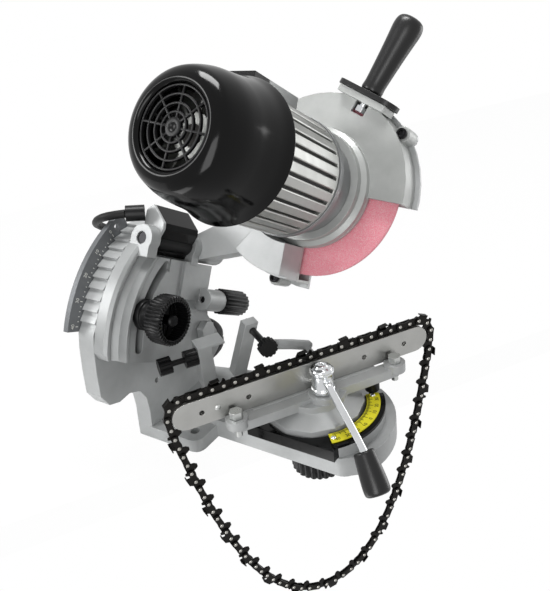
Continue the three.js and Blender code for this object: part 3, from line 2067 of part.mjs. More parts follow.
// The coil spirals in on the bench, climbs in half a turn and spirals out again on top
function coil() {
  const steps = Math.round(cord.coilTurns * loopSteps);
  const points = [];
  const wraps = half(cord.coilTurns);
  for (let i = 0; i <= steps; i += 1) {
    const turn = (cord.coilTurns * i) / steps;
    const radius = cord.coilInner + cord.coilPitch * Math.abs(wraps - turn);
    const climb = THREE.MathUtils.smoothstep(turn, wraps - climbShare, wraps + climbShare);
    const [x, y] = polar(radius, cord.coilStart + turn * degrees(360));
    points.push([cord.coilX + x, cord.coilY + y, half(cord.diameter) + gap + cord.coilPitch * climb]);
  }
  const [x, y, z] = points[steps];
  points.push([x - half(cord.tail), y, z], [x - cord.tail, y, z]);
  return points;
}
const coilPoints = coil();
// The least gap between one wrap and another, measured on the coil's centre line
function leastGap(points, apart, diameter) {
  let least = Infinity;
  for (let i = 0; i < points.length; i += 1) {
    for (let j = i + apart; j < points.length; j += 1) {
      const [first, second] = [points[i], points[j]];
      least = Math.min(least, Math.hypot(first[0] - second[0], first[1] - second[1], first[2] - second[2]));
    }
  }
  return least - diameter;
}
console.log(`coil: least gap ${leastGap(coilPoints, half(loopSteps), cord.diameter).toFixed(2)} mm`);
piece(
  sharpener,
  "cord_coil",
  tube(coilPoints, half(cord.diameter), coilPoints.length, loopSides),
  cordBlack,
);
const [plugX, plugY, plugZ] = coilPoints[coilPoints.length - 1];
const plugAlong = (radiusFrom, radiusTo, from, to, aside = 0) =>
  rod([plugX - from, plugY + aside, plugZ], [plugX - to, plugY + aside, plugZ], radiusFrom, radiusTo);
piece(
  sharpener,
  "plug",
  join(
    plugAlong(plug.neck, plug.radius, gap, plug.taper),
    plugAlong(plug.radius, plug.radius, plug.taper - gap, plug.long),
    ...[-1, 1].map((way) =>
      plugAlong(
        plug.pinRadius,
        plug.pinRadius,
        plug.long - gap,
        plug.long + plug.pinLong,
        way * half(plug.pinSpread),
      ),
    ),
  ),
  blackPlastic,
);

export default sharpener;
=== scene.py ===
"""Electric chainsaw sharpener: finishes, detailed pieces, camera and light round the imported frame."""

import json
import math

import bmesh
import bpy
from mathutils import Matrix, Vector


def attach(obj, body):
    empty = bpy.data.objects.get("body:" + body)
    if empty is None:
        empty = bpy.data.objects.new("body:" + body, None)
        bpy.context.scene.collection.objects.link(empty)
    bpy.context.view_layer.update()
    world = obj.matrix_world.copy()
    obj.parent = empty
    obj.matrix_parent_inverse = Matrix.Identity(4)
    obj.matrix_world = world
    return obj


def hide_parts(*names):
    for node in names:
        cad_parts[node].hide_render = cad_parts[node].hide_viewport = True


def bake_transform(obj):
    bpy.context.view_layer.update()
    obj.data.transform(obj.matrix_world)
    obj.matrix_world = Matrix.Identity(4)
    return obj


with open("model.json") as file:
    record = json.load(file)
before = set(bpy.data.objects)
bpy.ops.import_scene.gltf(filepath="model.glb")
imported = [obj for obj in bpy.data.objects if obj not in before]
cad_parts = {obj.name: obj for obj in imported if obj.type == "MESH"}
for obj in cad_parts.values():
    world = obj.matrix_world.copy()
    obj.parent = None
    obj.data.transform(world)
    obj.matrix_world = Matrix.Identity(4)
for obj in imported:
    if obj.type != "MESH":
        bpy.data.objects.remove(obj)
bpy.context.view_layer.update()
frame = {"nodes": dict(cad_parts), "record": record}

# Pieces are modelled in millimetres, and their place matrix brings them to metres
METRE = 1000
GAP = 0.3
WELD = 0.003
FINE_WELD = 0.0003
TINY = 1e-9

# Steps round a form and along a curve
FINE = 96
MID = 48
FEW = 24
TUBE_SIDES = 12
ARC_STEPS = 4
BEVEL_STEPS = 2
FLUTE_STEPS = 6
SCREW_STEPS = 30
RIVET_STEPS = 10
LOOP_STEPS = 240
CURVE_STEPS = 5
COVER_STEPS = 4
GRIP_STEPS = 3

# Angles
FULL_TURN = math.radians(360)
HALF_TURN = math.radians(180)
QUARTER = math.radians(90)
BEVEL_ANGLE = math.radians(30)
SOFT_ANGLE = math.radians(31)

# Frames: the tilted body, the shaft, the vise
TILT_HEIGHT = 81.43
TILT_ANGLE = math.radians(-29.73)
WHEEL_AT = (115.86, 0, 137.5)
VISE_AT = (132.8, -0.1, 0)
VISE_ANGLE = math.radians(-33.64)
AS_IT_IS = Matrix.Identity(4)
WORLD = Matrix.Scale(1 / METRE, 4)
TILTED = WORLD @ Matrix.Translation((0, 0, TILT_HEIGHT)) @ Matrix.Rotation(TILT_ANGLE, 4, "X")
HEAD = TILTED @ Matrix.Translation(WHEEL_AT)
VISE = WORLD @ Matrix.Translation(VISE_AT) @ Matrix.Rotation(VISE_ANGLE, 4, "Z")
# Local Z runs along the shaft towards the fan, and local Y up the head
SHAFT = HEAD @ Matrix.Rotation(QUARTER, 4, "X")
# Local Z runs off the plate along X
FROM_PLATE = Matrix.Rotation(QUARTER, 4, "Z") @ Matrix.Rotation(QUARTER, 4, "X")

# Camera
VIEW_RIGHT = (0.83760, 0.53522, -0.10938)
VIEW_UP = (-0.15777, 0.42872, 0.88955)
VIEW_BACK = (0.52300, -0.72784, 0.44354)
VIEW_FROM = (400.92, -411.85, 382.96)
LENS = 44.94
SENSOR = 36

# World and lamps: each lamp has a name, a place, a width and height, and its watts
AMBIENT = 0.37
MIRRORED = 0.72
LAMP_AIM = (70, 0, 130)
LAMPS = [
    ("key", (-700, -700, 700), (420, 420), 5),
    ("front", (560, -1000, 330), (420, 900), 5.4),
    ("top", (50, 100, 1150), (500, 300), 8.5),
    ("low", (-250, -500, -700), (700, 350), 2),
    ("back", (620, 900, -20), (500, 700), 3.2),
]

# Bench
BENCH_EDGE = -27
BENCH_DEEP = 900
BENCH_LONG = 1100
BENCH_THICK = 30
BENCH_PALE = 0.92
BENCH_ROUGH = 0.9
BENCH_WHITE_SHARE = 0.97

# The Mix node's sockets for colours: two that go in, one that comes out
MIX_COLOURS = (6, 7, 2)

# Finishes: tones and roughness are shares, noise scales count to the metre, depths and edges are lengths
WHITE_LEVEL = 255
GAMMA = 2.2
EDGE_SAMPLES = 6
CAST_BROAD = 28
CAST_RAMP = ((0.35, 0), (0.65, 1))
CAST_SHARES = (0.88, 1.08)
CAST_FINE_ROUGH = 0.16
CAST_BROAD_ROUGH = 0.1
CAST_BROAD_DEEP = 0.4
CAST_RELIEF = 0.35
CAST_DEEP = 0.25
CAST_EDGE = 0.7
BARE_SPOTS = 60
BARE_PALE_SHARE = 1.1
BARE_ROUGH = 0.2
BARE_RELIEF = 0.25
BARE_DEEP = 0.06
BARE_EDGE = 0.4
MOULDED_BROAD = 35
MOULDED_SHARES = (0.75, 1.35)
MOULDED_FINE_ROUGH = 0.12
MOULDED_BROAD_ROUGH = 0.08
MOULDED_DEEP = 0.1
GRIT_SCALE = 1500
GRAIN_SCALE = 900
GRIT_RAMP = ((0.45, 0), (0.62, 1))
GRAIN_RAMP = ((0.1, 1), (0.3, 0))
GRIT_SHARE = 0.9
GRIT_ROUGH = 0.85
GRIT_RELIEF = 0.5
GRIT_DEEP = 0.4
WIDE_EDGE = 0.5
SMALL_EDGE = 0.3
TINY_EDGE = 0.2
EVEN = (1, 1, 1)

# Motor: fins, fan cover and grille
FIN_RADIUS = 46.5
FIN_DEPTH = 3.4
FIN_COUNT = 30
FIN_SHARE = 0.8
FIN_START_SHARE = 0.05
FIN_SIDE_SHARE = 0.03
FIN_ROUND_SHARE = 0.1
FIN_ROUND = 0.5
FIN_CLOSED = 3
BODY_FROM = 58
BODY_TO = 133
COVER_FROM = 133.3
COVER_TO = 195
COVER_WALL = 2.4
COVER_LIP = 27.3
COVER_SEAT = 1
COVER_UNDER = 3.6
# Shares of the fins' radius and of the cover's length
COVER_SHARES = [(1.115, 0), (1.06, 0.12), (1.02, 0.27), (0.995, 0.4), (0.98, 0.52), (0.95, 0.68),
                (0.885, 0.84), (0.83, 0.92), (0.74, 0.975), (0.66, 0.998)]
# The two points of COVER_SHARES between which the wall is straight inside
COVER_INSIDE = (3, -4)
# Out from the lip and down from the cover's end
COVER_ROLL = [(2.2, 0.2), (1.1, 0.9), (0.3, 2), (0, 3)]
GRILLE_AT = 190
GRILLE_THICK = 2.4
GRILLE_WIRE = 1.6
GRILLE_RINGS = (27, 21.4, 15.8, 10.4)
GRILLE_ROUND = 0.5
GRILLE_TURN = math.radians(-8)
GRILLE_HUB = 6.2
# A share of the hub's radius, and the height over the grille's face
GRILLE_HUB_TOP = [(0, -0.9), (0.3, -0.6), (0.45, 0.4), (1, 0.4)]
SPOKE_COUNT = 8
SPOKE_FROM = 4
SPOKE_END = 1
SPOKE_SUNK = 0.2
SPOKE_ROUND = 0.4

# Wheel and the guard's screws, with the radius and height of a head and the radius and depth of its socket
WHEEL_RADIUS = 72.5
WHEEL_THICK = 3.2
WHEEL_BORE = 8
WHEEL_CHAMFER = 0.6
GUARD_SCREWS = (36, -138, -108)
GUARD_SCREW_AT = 83
GUARD_SCREW_TOP = 5
SOCKET_HEAD = (4.3, 3.4)
SOCKET = (2.3, 1.8)

# Handle: the profile is a share of the grip's length, and a radius
HANDLE_ANGLE = math.radians(66.5)
HANDLE_M = 8
GRIP_BASE = 87.6
GRIP_END = 152
GRIP_BORE = 3.4
GRIP_PROFILE = [(0, 8.6), (0.03, 9.2), (0.1, 8.9), (0.3, 9.5), (0.55, 10.5), (0.74, 11.5), (0.84, 12),
                (0.92, 11.5), (0.965, 9.9), (0.99, 7), (1, 3)]

# Knobs: radius and length of the upper two, and radius, top and bottom of the lower one
FLUTE_POWER = 0.6
KNOB_JOIN = 1
BRACKET_FACE = 18.8
LOCK_AT = (0, -82.3, 10.5)
LOCK_KNOB = (20.5, 16)
LOCK_FLUTES = 40
LOCK_FLUTE_DEEP = 1.2
LOCK_FLUTE_STEPS = 4
LOCK_RECESS = 12
LOCK_RIM = 2.6
LOCK_BORE = 4.4
LOCK_COLLAR = (11, 18)
# How far the skirt stands out, its height and the height of its slope
LOCK_SKIRT = (2, 5, 1)
LOCK_ROUND = 0.6
# Radius, and depth below the knob's face
LOCK_BOSS = [(0, 1), (4.2, 1), (5.6, 3.4), (0, 3.4)]
LOCK_BOSS_ROUND = 0.4
DEPTH_AT = (25, 0, 28)
DEPTH_TOP = -7.3
DEPTH_KNOB = (12, 38)
DEPTH_FLUTES = 18
DEPTH_FLUTE_DEEP = 1.3
DEPTH_CROWN_OUT = 2
DEPTH_CROWN_LONG = 3
DEPTH_CROWN_INSET = (2.4, 1.4)
DEPTH_CROWN_ROUND = 0.8
# Radius of the shank and the height of its end
DEPTH_SHANK = (3, 14)
DEPTH_SHANK_IN = 2
LOWER_KNOB = (25.5, -3, -33)
LOWER_FLUTES = 26
LOWER_FLUTE_DEEP = 1.8
LOWER_RECESS = 3.4
LOWER_RIM = 3.6
# Inner and outer radius of the collar
LOWER_COLLAR = (5.4, 13)
LOWER_ROUND = 0.5

# Clamp: hub and cap as (radius, height) points, the grip as (share of its length, radius) points
POST_AT = (16.2, 2)
CAM_AT = (15.21, 2.99)
HUB_PROFILE = [(4.4, 54), (10.3, 54), (10.3, 57.5), (9.3, 58.5), (9.3, 71), (10.3, 72), (10.3, 74),
               (4.4, 74)]
HUB_ROUND = 0.4
CAP_PROFILE = [(0, 74), (9.5, 74), (9.5, 76), (8.6, 77.2), (6, 78), (5.6, 78.6), (4.8, 79.6), (2.6, 80.2),
               (2.4, 79.2), (0, 79.2)]
CAP_ROUND = 0.3
ROD_LINE = [(19, 2.2, 65.6), (27, 2.6, 64.4), (33, 2.9, 60.2), (75.1, 4.9, 30.2), (83, 4.7, 20.6)]
ROD_RADIUS = 3.3
CLAMP_GRIP = ((75.1, 4.9, 30.2), (97, 4.2, 3))
CLAMP_GRIP_PROFILE = [(0, 7.6), (0.02, 8.4), (0.1, 8.8), (0.4, 9.8), (0.7, 10.6), (0.88, 10.6), (0.95, 10),
                      (0.985, 8.6), (1, 6)]

# Rail, with the radius and height of its rivet, and the path of the chain
RAIL_FROM = -124
RAIL_TO = 113
RAIL_MIDDLE = 64.5
RAIL_ROUND = 12
RAIL_FACE = 4.6
RAIL_RIVET_AT = (-86.1, 64)
RAIL_RIVET = (2.6, 1)
CHAIN_PITCH = 9.525
CHAIN_BEND = 15.3
CHAIN_RIGHT = 3.7
LOOP_SAG = 50.4
LOOP_LOW = -185.5
LOOP_MIDDLE = -3.4
LOOP_SPREAD = 122

# Chain links, each drawn about the middle between its two rivets
CUTTER_EVERY = 4
LINK_GAP = 0.05
STRAP_RADIUS = 3.5
STRAP_WAIST = 2.7
STRAP_THICK = 1.3
STRAP_ARC = math.radians(60)
DRIVE_THICK = 1.5
DRIVE_RADIUS = 3.2
DRIVE_ARC = math.radians(50)
DRIVE_TOOTH = [(3.4, -2.6), (2.6, -5.4), (0.6, -7.6), (-1.6, -7.2), (-3.2, -4.6), (-3.9, -2.2)]
CUTTER_SIDE = [(-7.6, -1.6), (-6, -3.4), (-4, -3.5), (0, -2.7), (4, -3.5), (6, -3.4), (7.8, -1.4),
               (8.1, 1.4), (7.3, 4.9), (5.9, 5.3), (4.2, 2.4), (2.4, 1.8), (1.6, 3.4), (2, 6.5),
               (-5.4, 5.7), (-7.2, 3)]
CUTTER_TOP = [(-5.6, 5.1), (2, 5.9)]
CUTTER_RISE = 0.9
CUTTER_REACH = 2.3
RIVET_RADIUS = 1.9
RIVET_PROUD = 0.5
RIVET_FLAT_SHARE = 0.6
# A rivet's head: shares of its radius and of its height
DOME_SHARES = [(0, 1), (0.55, 0.85), (0.9, 0.4), (1, 0), (0, 0)]

# Marks of the vise's scale and of the number plate, in degrees and millimetres
NUMBERED = 10
LONGER = 5
SCALE_FIRST = -42
SCALE_LAST = 38
SCALE_INNER = 45.3
SCALE_OUTER = 56.9
SCALE_TOP = 32.2
SCALE_LIFT = 0.12
SCALE_TICK_INSET = 0.5
# Length and width of a numbered, a longer and a plain tick
SCALE_TICKS = ((5, 0.5), (3.6, 0.5), (2.2, 0.28))
SCALE_FIGURE = 4.6
SCALE_FIGURE_INSET = 3.1
SCALE_RIVETS = (-43, 37)
SCALE_RIVET = (2.2, 1.2)
PLATE_ZERO = 24
PLATE_LAST = 40
PLATE_STEP = 2
PLATE_FRONT = -17.2
PLATE_INNER = 116
PLATE_LIFT = 0.2
PLATE_TICK_INSET = 1
PLATE_TICK_LONG = 2.4
PLATE_TICK_SHORT = 1.2
PLATE_TICK_WIDE = 0.6
PLATE_FIGURE = 4.2
PLATE_FIGURE_OUT = 6.4

# Cord: the same route as in the part's source
CORD_RADIUS = 3.5
CORD_ROUTE = [
    (-4.8, -40.6, 207.2), (-12, -44.8, 206.9), (-17, -46.8, 206.2), (-19.8, -47.6, 205.7),
    (-20.8, -47.8, 205.4), (-23.4, -48, 204.7), (-28.2, -47.8, 203), (-35.9, -45.6, 199),
    (-42, -41.1, 194.3), (-47.3, -27.5, 184.5), (-48, -10, 170), (-47, 2, 150), (-46, 6, 120), (-46, 6, 85),
    (-46, 6, 50), (-46, 6.6, 32), (-46, 10.6, 17), (-46, 20, 7), (-44.4, 31, 3.8), (-42.9, 36.6, 3.8),
    (-40.8, 40.7, 3.8),
]
COIL_AT = (-84, 66, 3.8)
COIL_INNER = 26
COIL_PITCH = 7.6
COIL_TURNS = 19 / 3
COIL_START = math.radians(-30)
COIL_STEPS = 40
COIL_CLIMB = 0.25
COIL_TAIL = 30


# Shader building
class Shade:
    """A shader value. Plain sums on it add Math nodes."""

    def __init__(self, finish, socket):
        self.finish = finish
        self.socket = socket

    def sum(self, operation, first, second):
        return self.finish.add("ShaderNodeMath", {"operation": operation}, {0: first, 1: second})

    def __add__(self, other):
        return self.sum("ADD", self, other)

    def __mul__(self, other):
        return self.sum("MULTIPLY", self, other)


class Finish:
    """One material, with the helpers that its pattern needs."""

    def __init__(self, name):
        self.material = bpy.data.materials.new(name)
        self.material.use_nodes = True
        self.tree = self.material.node_tree
        self.shader = self.tree.nodes["Principled BSDF"]
        self.place = self.add("ShaderNodeTexCoord", pick="Object")

    def add(self, kind, settings=None, values=None, pick=0):
        node = self.tree.nodes.new(kind)
        for key, value in (settings or {}).items():
            if key == "stops":
                ramp = node.color_ramp
                while len(ramp.elements) < len(value):
                    ramp.elements.new(1)
                for element, (at, grey) in zip(ramp.elements, value):
                    element.position = at
                    element.color = (grey, grey, grey, 1)
            else:
                setattr(node, key, value)
        for key, value in (values or {}).items():
            self.put(node.inputs[key], value)
        return Shade(self, node.outputs[pick])

    def put(self, socket, value):
        if isinstance(value, Shade):
            self.tree.links.new(value.socket, socket)
        else:
            socket.default_value = value

    def set(self, **values):
        for key, value in values.items():
            self.put(self.shader.inputs[key.replace("_", " ").title()], value)

    def noise(self, scale, detail=3, rough=0.55, stretch=None):
        place = self.place
        if stretch:
            place = self.add("ShaderNodeMapping", None, {"Vector": place, "Scale": stretch})
        return self.add("ShaderNodeTexNoise", None, {"Vector": place, "Scale": scale, "Detail": detail,
                                                     "Roughness": rough})

    def cells(self, scale):
        return self.add("ShaderNodeTexVoronoi", None, {"Vector": self.place, "Scale": scale})

    def ramp(self, value, *stops):
        return self.add("ShaderNodeValToRGB", {"stops": stops}, {0: value})

    def blend(self, factor, first, second):
        one, other, result = MIX_COLOURS
        colours = {one: first if isinstance(first, Shade) else (*first, 1),
                   other: second if isinstance(second, Shade) else (*second, 1)}
        return self.add("ShaderNodeMix", {"data_type": "RGBA"}, {0: factor, **colours}, pick=result)

    def relief(self, height, depth, strength, edge=0):
        values = {"Height": height, "Distance": depth / METRE, "Strength": strength}
        if edge:
            bevel = {"samples": EDGE_SAMPLES}
            values["Normal"] = self.add("ShaderNodeBevel", bevel, {"Radius": edge / METRE})
        self.set(normal=self.add("ShaderNodeBump", None, values))
        return self


def shaded(colour, share):
    return tuple(min(1, part * share) for part in colour)


def varied(level, *parts):
    """A level with noise evenly round it: each part is a noise and how much it adds at its most."""
    total = level - sum(share for _, share in parts) / 2
    for noise, share in parts:
        total = noise * share + total
    return total


# A colour as a picture editor shows it, made linear
def tone(red, green, blue):
    return tuple((part / WHITE_LEVEL) ** GAMMA for part in (red, green, blue))


# Painted or cast metal: a broad tone, a fine grain, soft edges
def cast(name, colour, rough, metal, grain=900):
    made = Finish(name)
    broad = made.noise(CAST_BROAD, detail=4)
    fine = made.noise(grain, detail=3)
    dark, pale = (shaded(colour, share) for share in CAST_SHARES)
    made.set(
        base_color=made.blend(made.ramp(broad, *CAST_RAMP), dark, pale),
        roughness=varied(rough, (fine, CAST_FINE_ROUGH), (broad, CAST_BROAD_ROUGH)),
        metallic=metal,
    )
    return made.relief(fine + broad * CAST_BROAD_DEEP, CAST_DEEP, CAST_RELIEF, CAST_EDGE).material


# Bare metal: brushed where its noise is stretched
def bare(name, colour, rough, stretch, scale=160, edge=BARE_EDGE, dark=0.82):
    made = Finish(name)
    lines = made.noise(scale, detail=5, rough=0.6, stretch=stretch)
    spots = made.noise(BARE_SPOTS, detail=3)
    made.set(
        base_color=made.blend(spots, shaded(colour, dark), shaded(colour, BARE_PALE_SHARE)),
        roughness=varied(rough, (lines, BARE_ROUGH)),
        metallic=1,
    )
    return made.relief(lines, BARE_DEEP, BARE_RELIEF, edge).material


# Moulded plastic or rubber: a faint grain
def moulded(name, colour, rough, grain=1400, strength=0.2, shine=0.3):
    made = Finish(name)
    fine = made.noise(grain, detail=2)
    broad = made.noise(MOULDED_BROAD, detail=3)
    dark, pale = (shaded(colour, share) for share in MOULDED_SHARES)
    made.set(
        base_color=made.blend(broad, dark, pale),
        roughness=varied(rough, (fine, MOULDED_FINE_ROUGH), (broad, MOULDED_BROAD_ROUGH)),
    )
    made.shader.inputs["Specular IOR Level"].default_value = shine
    return made.relief(fine, MOULDED_DEEP, strength, WIDE_EDGE).material


# Abrasive: pink grit with pale grains
def abrasive(name, colour):
    made = Finish(name)
    grit = made.noise(GRIT_SCALE, detail=4, rough=0.7)
    grains = made.cells(GRAIN_SCALE)
    pale = made.blend(made.ramp(grit, *GRIT_RAMP), shaded(colour, GRIT_SHARE), tone(244, 184, 192))
    made.set(
        base_color=made.blend(made.ramp(grains, *GRAIN_RAMP), pale, tone(250, 214, 216)),
        roughness=GRIT_ROUGH,
    )
    return made.relief(grit + grains, GRIT_DEEP, GRIT_RELIEF).material


CAST = cast("cast_grey", tone(178, 180, 180), rough=0.42, metal=0.3)
SATIN = cast("cast_satin", tone(182, 184, 184), rough=0.38, metal=0.35, grain=1200)
GUARD = cast("guard_grey", tone(172, 174, 172), rough=0.36, metal=0.35, grain=1200)
SCREW_BLACK = bare("black_screw", tone(44, 44, 45), rough=0.3, stretch=EVEN, scale=90, edge=SMALL_EDGE,
                   dark=0.7)
BRACKET = cast("bracket_grey", tone(162, 164, 164), rough=0.42, metal=0.35)
SHIELD = cast("shield_grey", tone(134, 135, 136), rough=0.34, metal=0.6, grain=1200)
NUMBER = cast("number_plate_grey", tone(112, 114, 116), rough=0.5, metal=0.5, grain=500)
ALUMINIUM = bare("fin_aluminium", tone(176, 177, 174), rough=0.4, stretch=(1, 1, 0.1))
# Painted shade: a dark finish for the floor of the slots between the motor's fins
SLOT_PAINTED_SHADE = moulded("slot_shadow", tone(52, 52, 52), rough=0.6)
ZINC = bare("zinc_steel", tone(214, 216, 214), rough=0.28, stretch=(1, 1, 0.2), scale=60, edge=WIDE_EDGE)
CHROME = bare("chrome", tone(232, 234, 236), rough=0.12, stretch=EVEN, scale=40, edge=SMALL_EDGE, dark=0.92)
RAIL = bare("rail_steel", tone(190, 190, 187), rough=0.34, stretch=(0.15, 0.15, 3), scale=220,
            edge=WIDE_EDGE)
DARK = bare("dark_steel", tone(50, 49, 48), rough=0.36, stretch=EVEN, scale=90, edge=SMALL_EDGE, dark=0.6)
BRIGHT_RIVET = bare("rivet_steel", tone(186, 184, 178), rough=0.3, stretch=EVEN, scale=90, edge=TINY_EDGE)
BLACK = moulded("black_plastic", tone(17, 17, 18), rough=0.36, shine=0.25)
GLOSS = moulded("gloss_black", tone(5, 5, 6), rough=0.13, grain=300, strength=0.03, shine=0.22)
GRIP = moulded("grip_black", tone(15, 15, 16), rough=0.34, grain=900, strength=0.1, shine=0.5)
RUBBER = moulded("cord_rubber", tone(20, 20, 20), rough=0.5)
RED = moulded("red_plastic", tone(168, 26, 26), rough=0.3)
YELLOW = moulded("yellow_scale", tone(214, 205, 44), rough=0.42, grain=500, strength=0.05)
INK = moulded("scale_ink", tone(46, 46, 20), rough=0.6)
WHITE_INK = moulded("white_ink", tone(222, 222, 216), rough=0.6)
PINK = abrasive("pink_abrasive", tone(255, 146, 162))


# Modelling helpers, in millimetres
def spun(profile, steps=MID, closed=False):
    """A lathe form: (radius, height) points turned round local Z."""
    bm = bmesh.new()
    points = [bm.verts.new((radius, 0, height)) for radius, height in profile]
    pairs = list(zip(points, points[1:]))
    if closed:
        pairs.append((points[-1], points[0]))
    edges = [bm.edges.new(pair) for pair in pairs]
    bmesh.ops.spin(bm, geom=points + edges, axis=(0, 0, 1), cent=(0, 0, 0), steps=steps,
                   angle=FULL_TURN, use_merge=True)
    bmesh.ops.remove_doubles(bm, verts=bm.verts, dist=WELD)
    return bm


def slab(outline, low, high):
    """An outline in local XY, raised from low to high."""
    bm = bmesh.new()
    face = bm.faces.new([bm.verts.new((x, y, low)) for x, y in outline])
    raised = bmesh.ops.extrude_face_region(bm, geom=[face])["geom"]
    points = [part for part in raised if isinstance(part, bmesh.types.BMVert)]
    bmesh.ops.translate(bm, verts=points, vec=(0, 0, high - low))
    return bm


def rounded(bm, width):
    """Bevels the sharp edges."""
    bmesh.ops.recalc_face_normals(bm, faces=bm.faces)
    sharp = [e for e in bm.edges if e.is_manifold and e.calc_face_angle() > BEVEL_ANGLE]
    bmesh.ops.bevel(bm, geom=sharp, offset=width, segments=BEVEL_STEPS, affect="EDGES", profile=0.5,
                    material=-1, clamp_overlap=True)
    return bm


def gathered(parts):
    """Several forms, each with its own place, as one."""
    whole = bmesh.new()
    for part, place in parts:
        copy = bpy.data.meshes.new("part")
        part.to_mesh(copy)
        copy.transform(place)
        whole.from_mesh(copy)
        bpy.data.meshes.remove(copy)
    return whole


def joined(forms):
    """Several forms, each left where it is, as one."""
    return gathered([(form, AS_IT_IS) for form in forms])


def shown(name, bm, body, material, place, replaces=(), sharp=40):
    """A finished piece: its place is in its mesh, and it rides on its body."""
    bmesh.ops.remove_doubles(bm, verts=bm.verts, dist=FINE_WELD)
    bmesh.ops.recalc_face_normals(bm, faces=bm.faces)
    mesh = bpy.data.meshes.new(name)
    bm.transform(place)
    bm.to_mesh(mesh)
    bm.free()
    mesh.shade_smooth()
    mesh.set_sharp_from_angle(angle=math.radians(sharp))
    piece = bpy.data.objects.new(name, mesh)
    bpy.context.scene.collection.objects.link(piece)
    piece.data.materials.append(material)
    if body:
        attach(piece, body)
    if replaces:
        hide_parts(*replaces)
    return piece


def arc(radius, start, end, steps, centre=(0, 0)):
    return [(centre[0] + radius * math.cos(start + (end - start) * i / steps),
             centre[1] + radius * math.sin(start + (end - start) * i / steps)) for i in range(steps + 1)]


def knob_form(radius, low, high, flutes, depth, recess=0, rim=0, steps=FLUTE_STEPS):
    """A round knob with rounded flutes, a chamfer at both ends and a recess in its face."""
    outline = []
    for i in range(flutes * steps):
        turn = FULL_TURN * i / (flutes * steps)
        wave = 0.5 + 0.5 * math.cos(turn * flutes)
        outline.append((turn, radius - depth * (1 - wave ** FLUTE_POWER)))
    bm = bmesh.new()
    chamfer = depth
    rings = []
    for inset, height in ((chamfer, low), (0, low + chamfer), (0, high - chamfer), (chamfer, high)):
        rings.append([bm.verts.new(((r - inset) * math.cos(t), (r - inset) * math.sin(t), height))
                      for t, r in outline])
    count = len(outline)
    for lower, upper in zip(rings, rings[1:]):
        for i in range(count):
            bm.faces.new((lower[i], lower[(i + 1) % count], upper[(i + 1) % count], upper[i]))
    bm.faces.new(list(reversed(rings[0])))
    top = bm.faces.new(rings[-1])
    if recess:
        bm.normal_update()
        bmesh.ops.inset_individual(bm, faces=[top], thickness=rim)
        bmesh.ops.inset_individual(bm, faces=[top], thickness=GAP, depth=-recess)
    return bm


# Camera, world, lamps and bench
def make_camera():
    data = bpy.data.cameras.new("camera")
    data.lens = LENS
    data.sensor_width = SENSOR
    data.sensor_fit = "HORIZONTAL"
    data.clip_start = 1 / METRE
    camera = bpy.data.objects.new("camera", data)
    turned = Matrix((VIEW_RIGHT, VIEW_UP, VIEW_BACK)).transposed().to_4x4()
    camera.matrix_world = Matrix.Translation(Vector(VIEW_FROM) / METRE) @ turned
    bpy.context.scene.collection.objects.link(camera)
    bpy.context.scene.camera = camera


make_camera()
bpy.context.scene.view_settings.view_transform = "Standard"


def make_world():
    world = bpy.data.worlds.new("studio")
    world.use_nodes = True
    bpy.context.scene.world = world
    nodes, links = world.node_tree.nodes, world.node_tree.links
    background = nodes["Background"]
    path = nodes.new("ShaderNodeLightPath")
    strength = AMBIENT
    for name, level in (("Is Glossy Ray", MIRRORED), ("Is Transmission Ray", 1), ("Is Camera Ray", 1)):
        level_for = nodes.new("ShaderNodeMapRange")
        if isinstance(strength, bpy.types.NodeSocket):
            links.new(strength, level_for.inputs["To Min"])
        else:
            level_for.inputs["To Min"].default_value = strength
        level_for.inputs["To Max"].default_value = level
        links.new(path.outputs[name], level_for.inputs["Value"])
        strength = level_for.outputs[0]
    links.new(strength, background.inputs["Strength"])
    background.inputs["Color"].default_value = (1, 1, 1, 1)


make_world()


def make_lamp(name, at, size, power):
    data = bpy.data.lights.new(name, "AREA")
    data.shape = "RECTANGLE"
    data.size, data.size_y = (side / METRE for side in size)
    data.energy = power
    made = bpy.data.objects.new(name, data)
    made.location = Vector(at) / METRE
    aim = Vector(LAMP_AIM) / METRE - made.location
    made.rotation_mode = "QUATERNION"
    made.rotation_quaternion = aim.to_track_quat("-Z", "Y")
    bpy.context.scene.collection.objects.link(made)


for lamp in LAMPS:
    make_lamp(*lamp)


def make_bench():
    outline = [(BENCH_EDGE, -BENCH_LONG), (BENCH_EDGE, BENCH_LONG), (-BENCH_DEEP, BENCH_LONG),
               (-BENCH_DEEP, -BENCH_LONG)]
    made = Finish("bench_white")
    made.set(base_color=(BENCH_PALE, BENCH_PALE, BENCH_PALE, 1), roughness=BENCH_ROUGH)
    path = made.add("ShaderNodeLightPath", pick="Is Camera Ray")
    white = made.add("ShaderNodeEmission", None, {"Color": (1, 1, 1, 1)})
    shader = Shade(made, made.shader.outputs[0])
    mixed = made.add("ShaderNodeMixShader", None, {0: path * BENCH_WHITE_SHARE, 1: shader, 2: white})
    made.tree.links.new(mixed.socket, made.tree.nodes["Material Output"].inputs["Surface"])
    bench = shown("bench", slab(outline, -BENCH_THICK, 0), None, made.material, VISE)


make_bench()


# Cord: one round tube along the same route, which bends between the bracket and the base
def smooth_step(value, low, high):
    share = min(1, max(0, (value - low) / (high - low)))
    return share * share * (3 - 2 * share)


def cord_line():
    points = [Vector(point) for point in CORD_ROUTE]
    wraps = COIL_TURNS / 2
    steps = round(COIL_TURNS * COIL_STEPS)
    for i in range(steps + 1):
        turn = COIL_TURNS * i / steps
        radius = COIL_INNER + COIL_PITCH * abs(wraps - turn)
        angle = COIL_START + FULL_TURN * turn
        lift = COIL_PITCH * smooth_step(turn, wraps - COIL_CLIMB, wraps + COIL_CLIMB)
        points.append(Vector(COIL_AT) + Vector((radius * math.cos(angle), radius * math.sin(angle), lift)))
    points.append(points[-1] + Vector((-COIL_TAIL, 0, 0)))
    return points


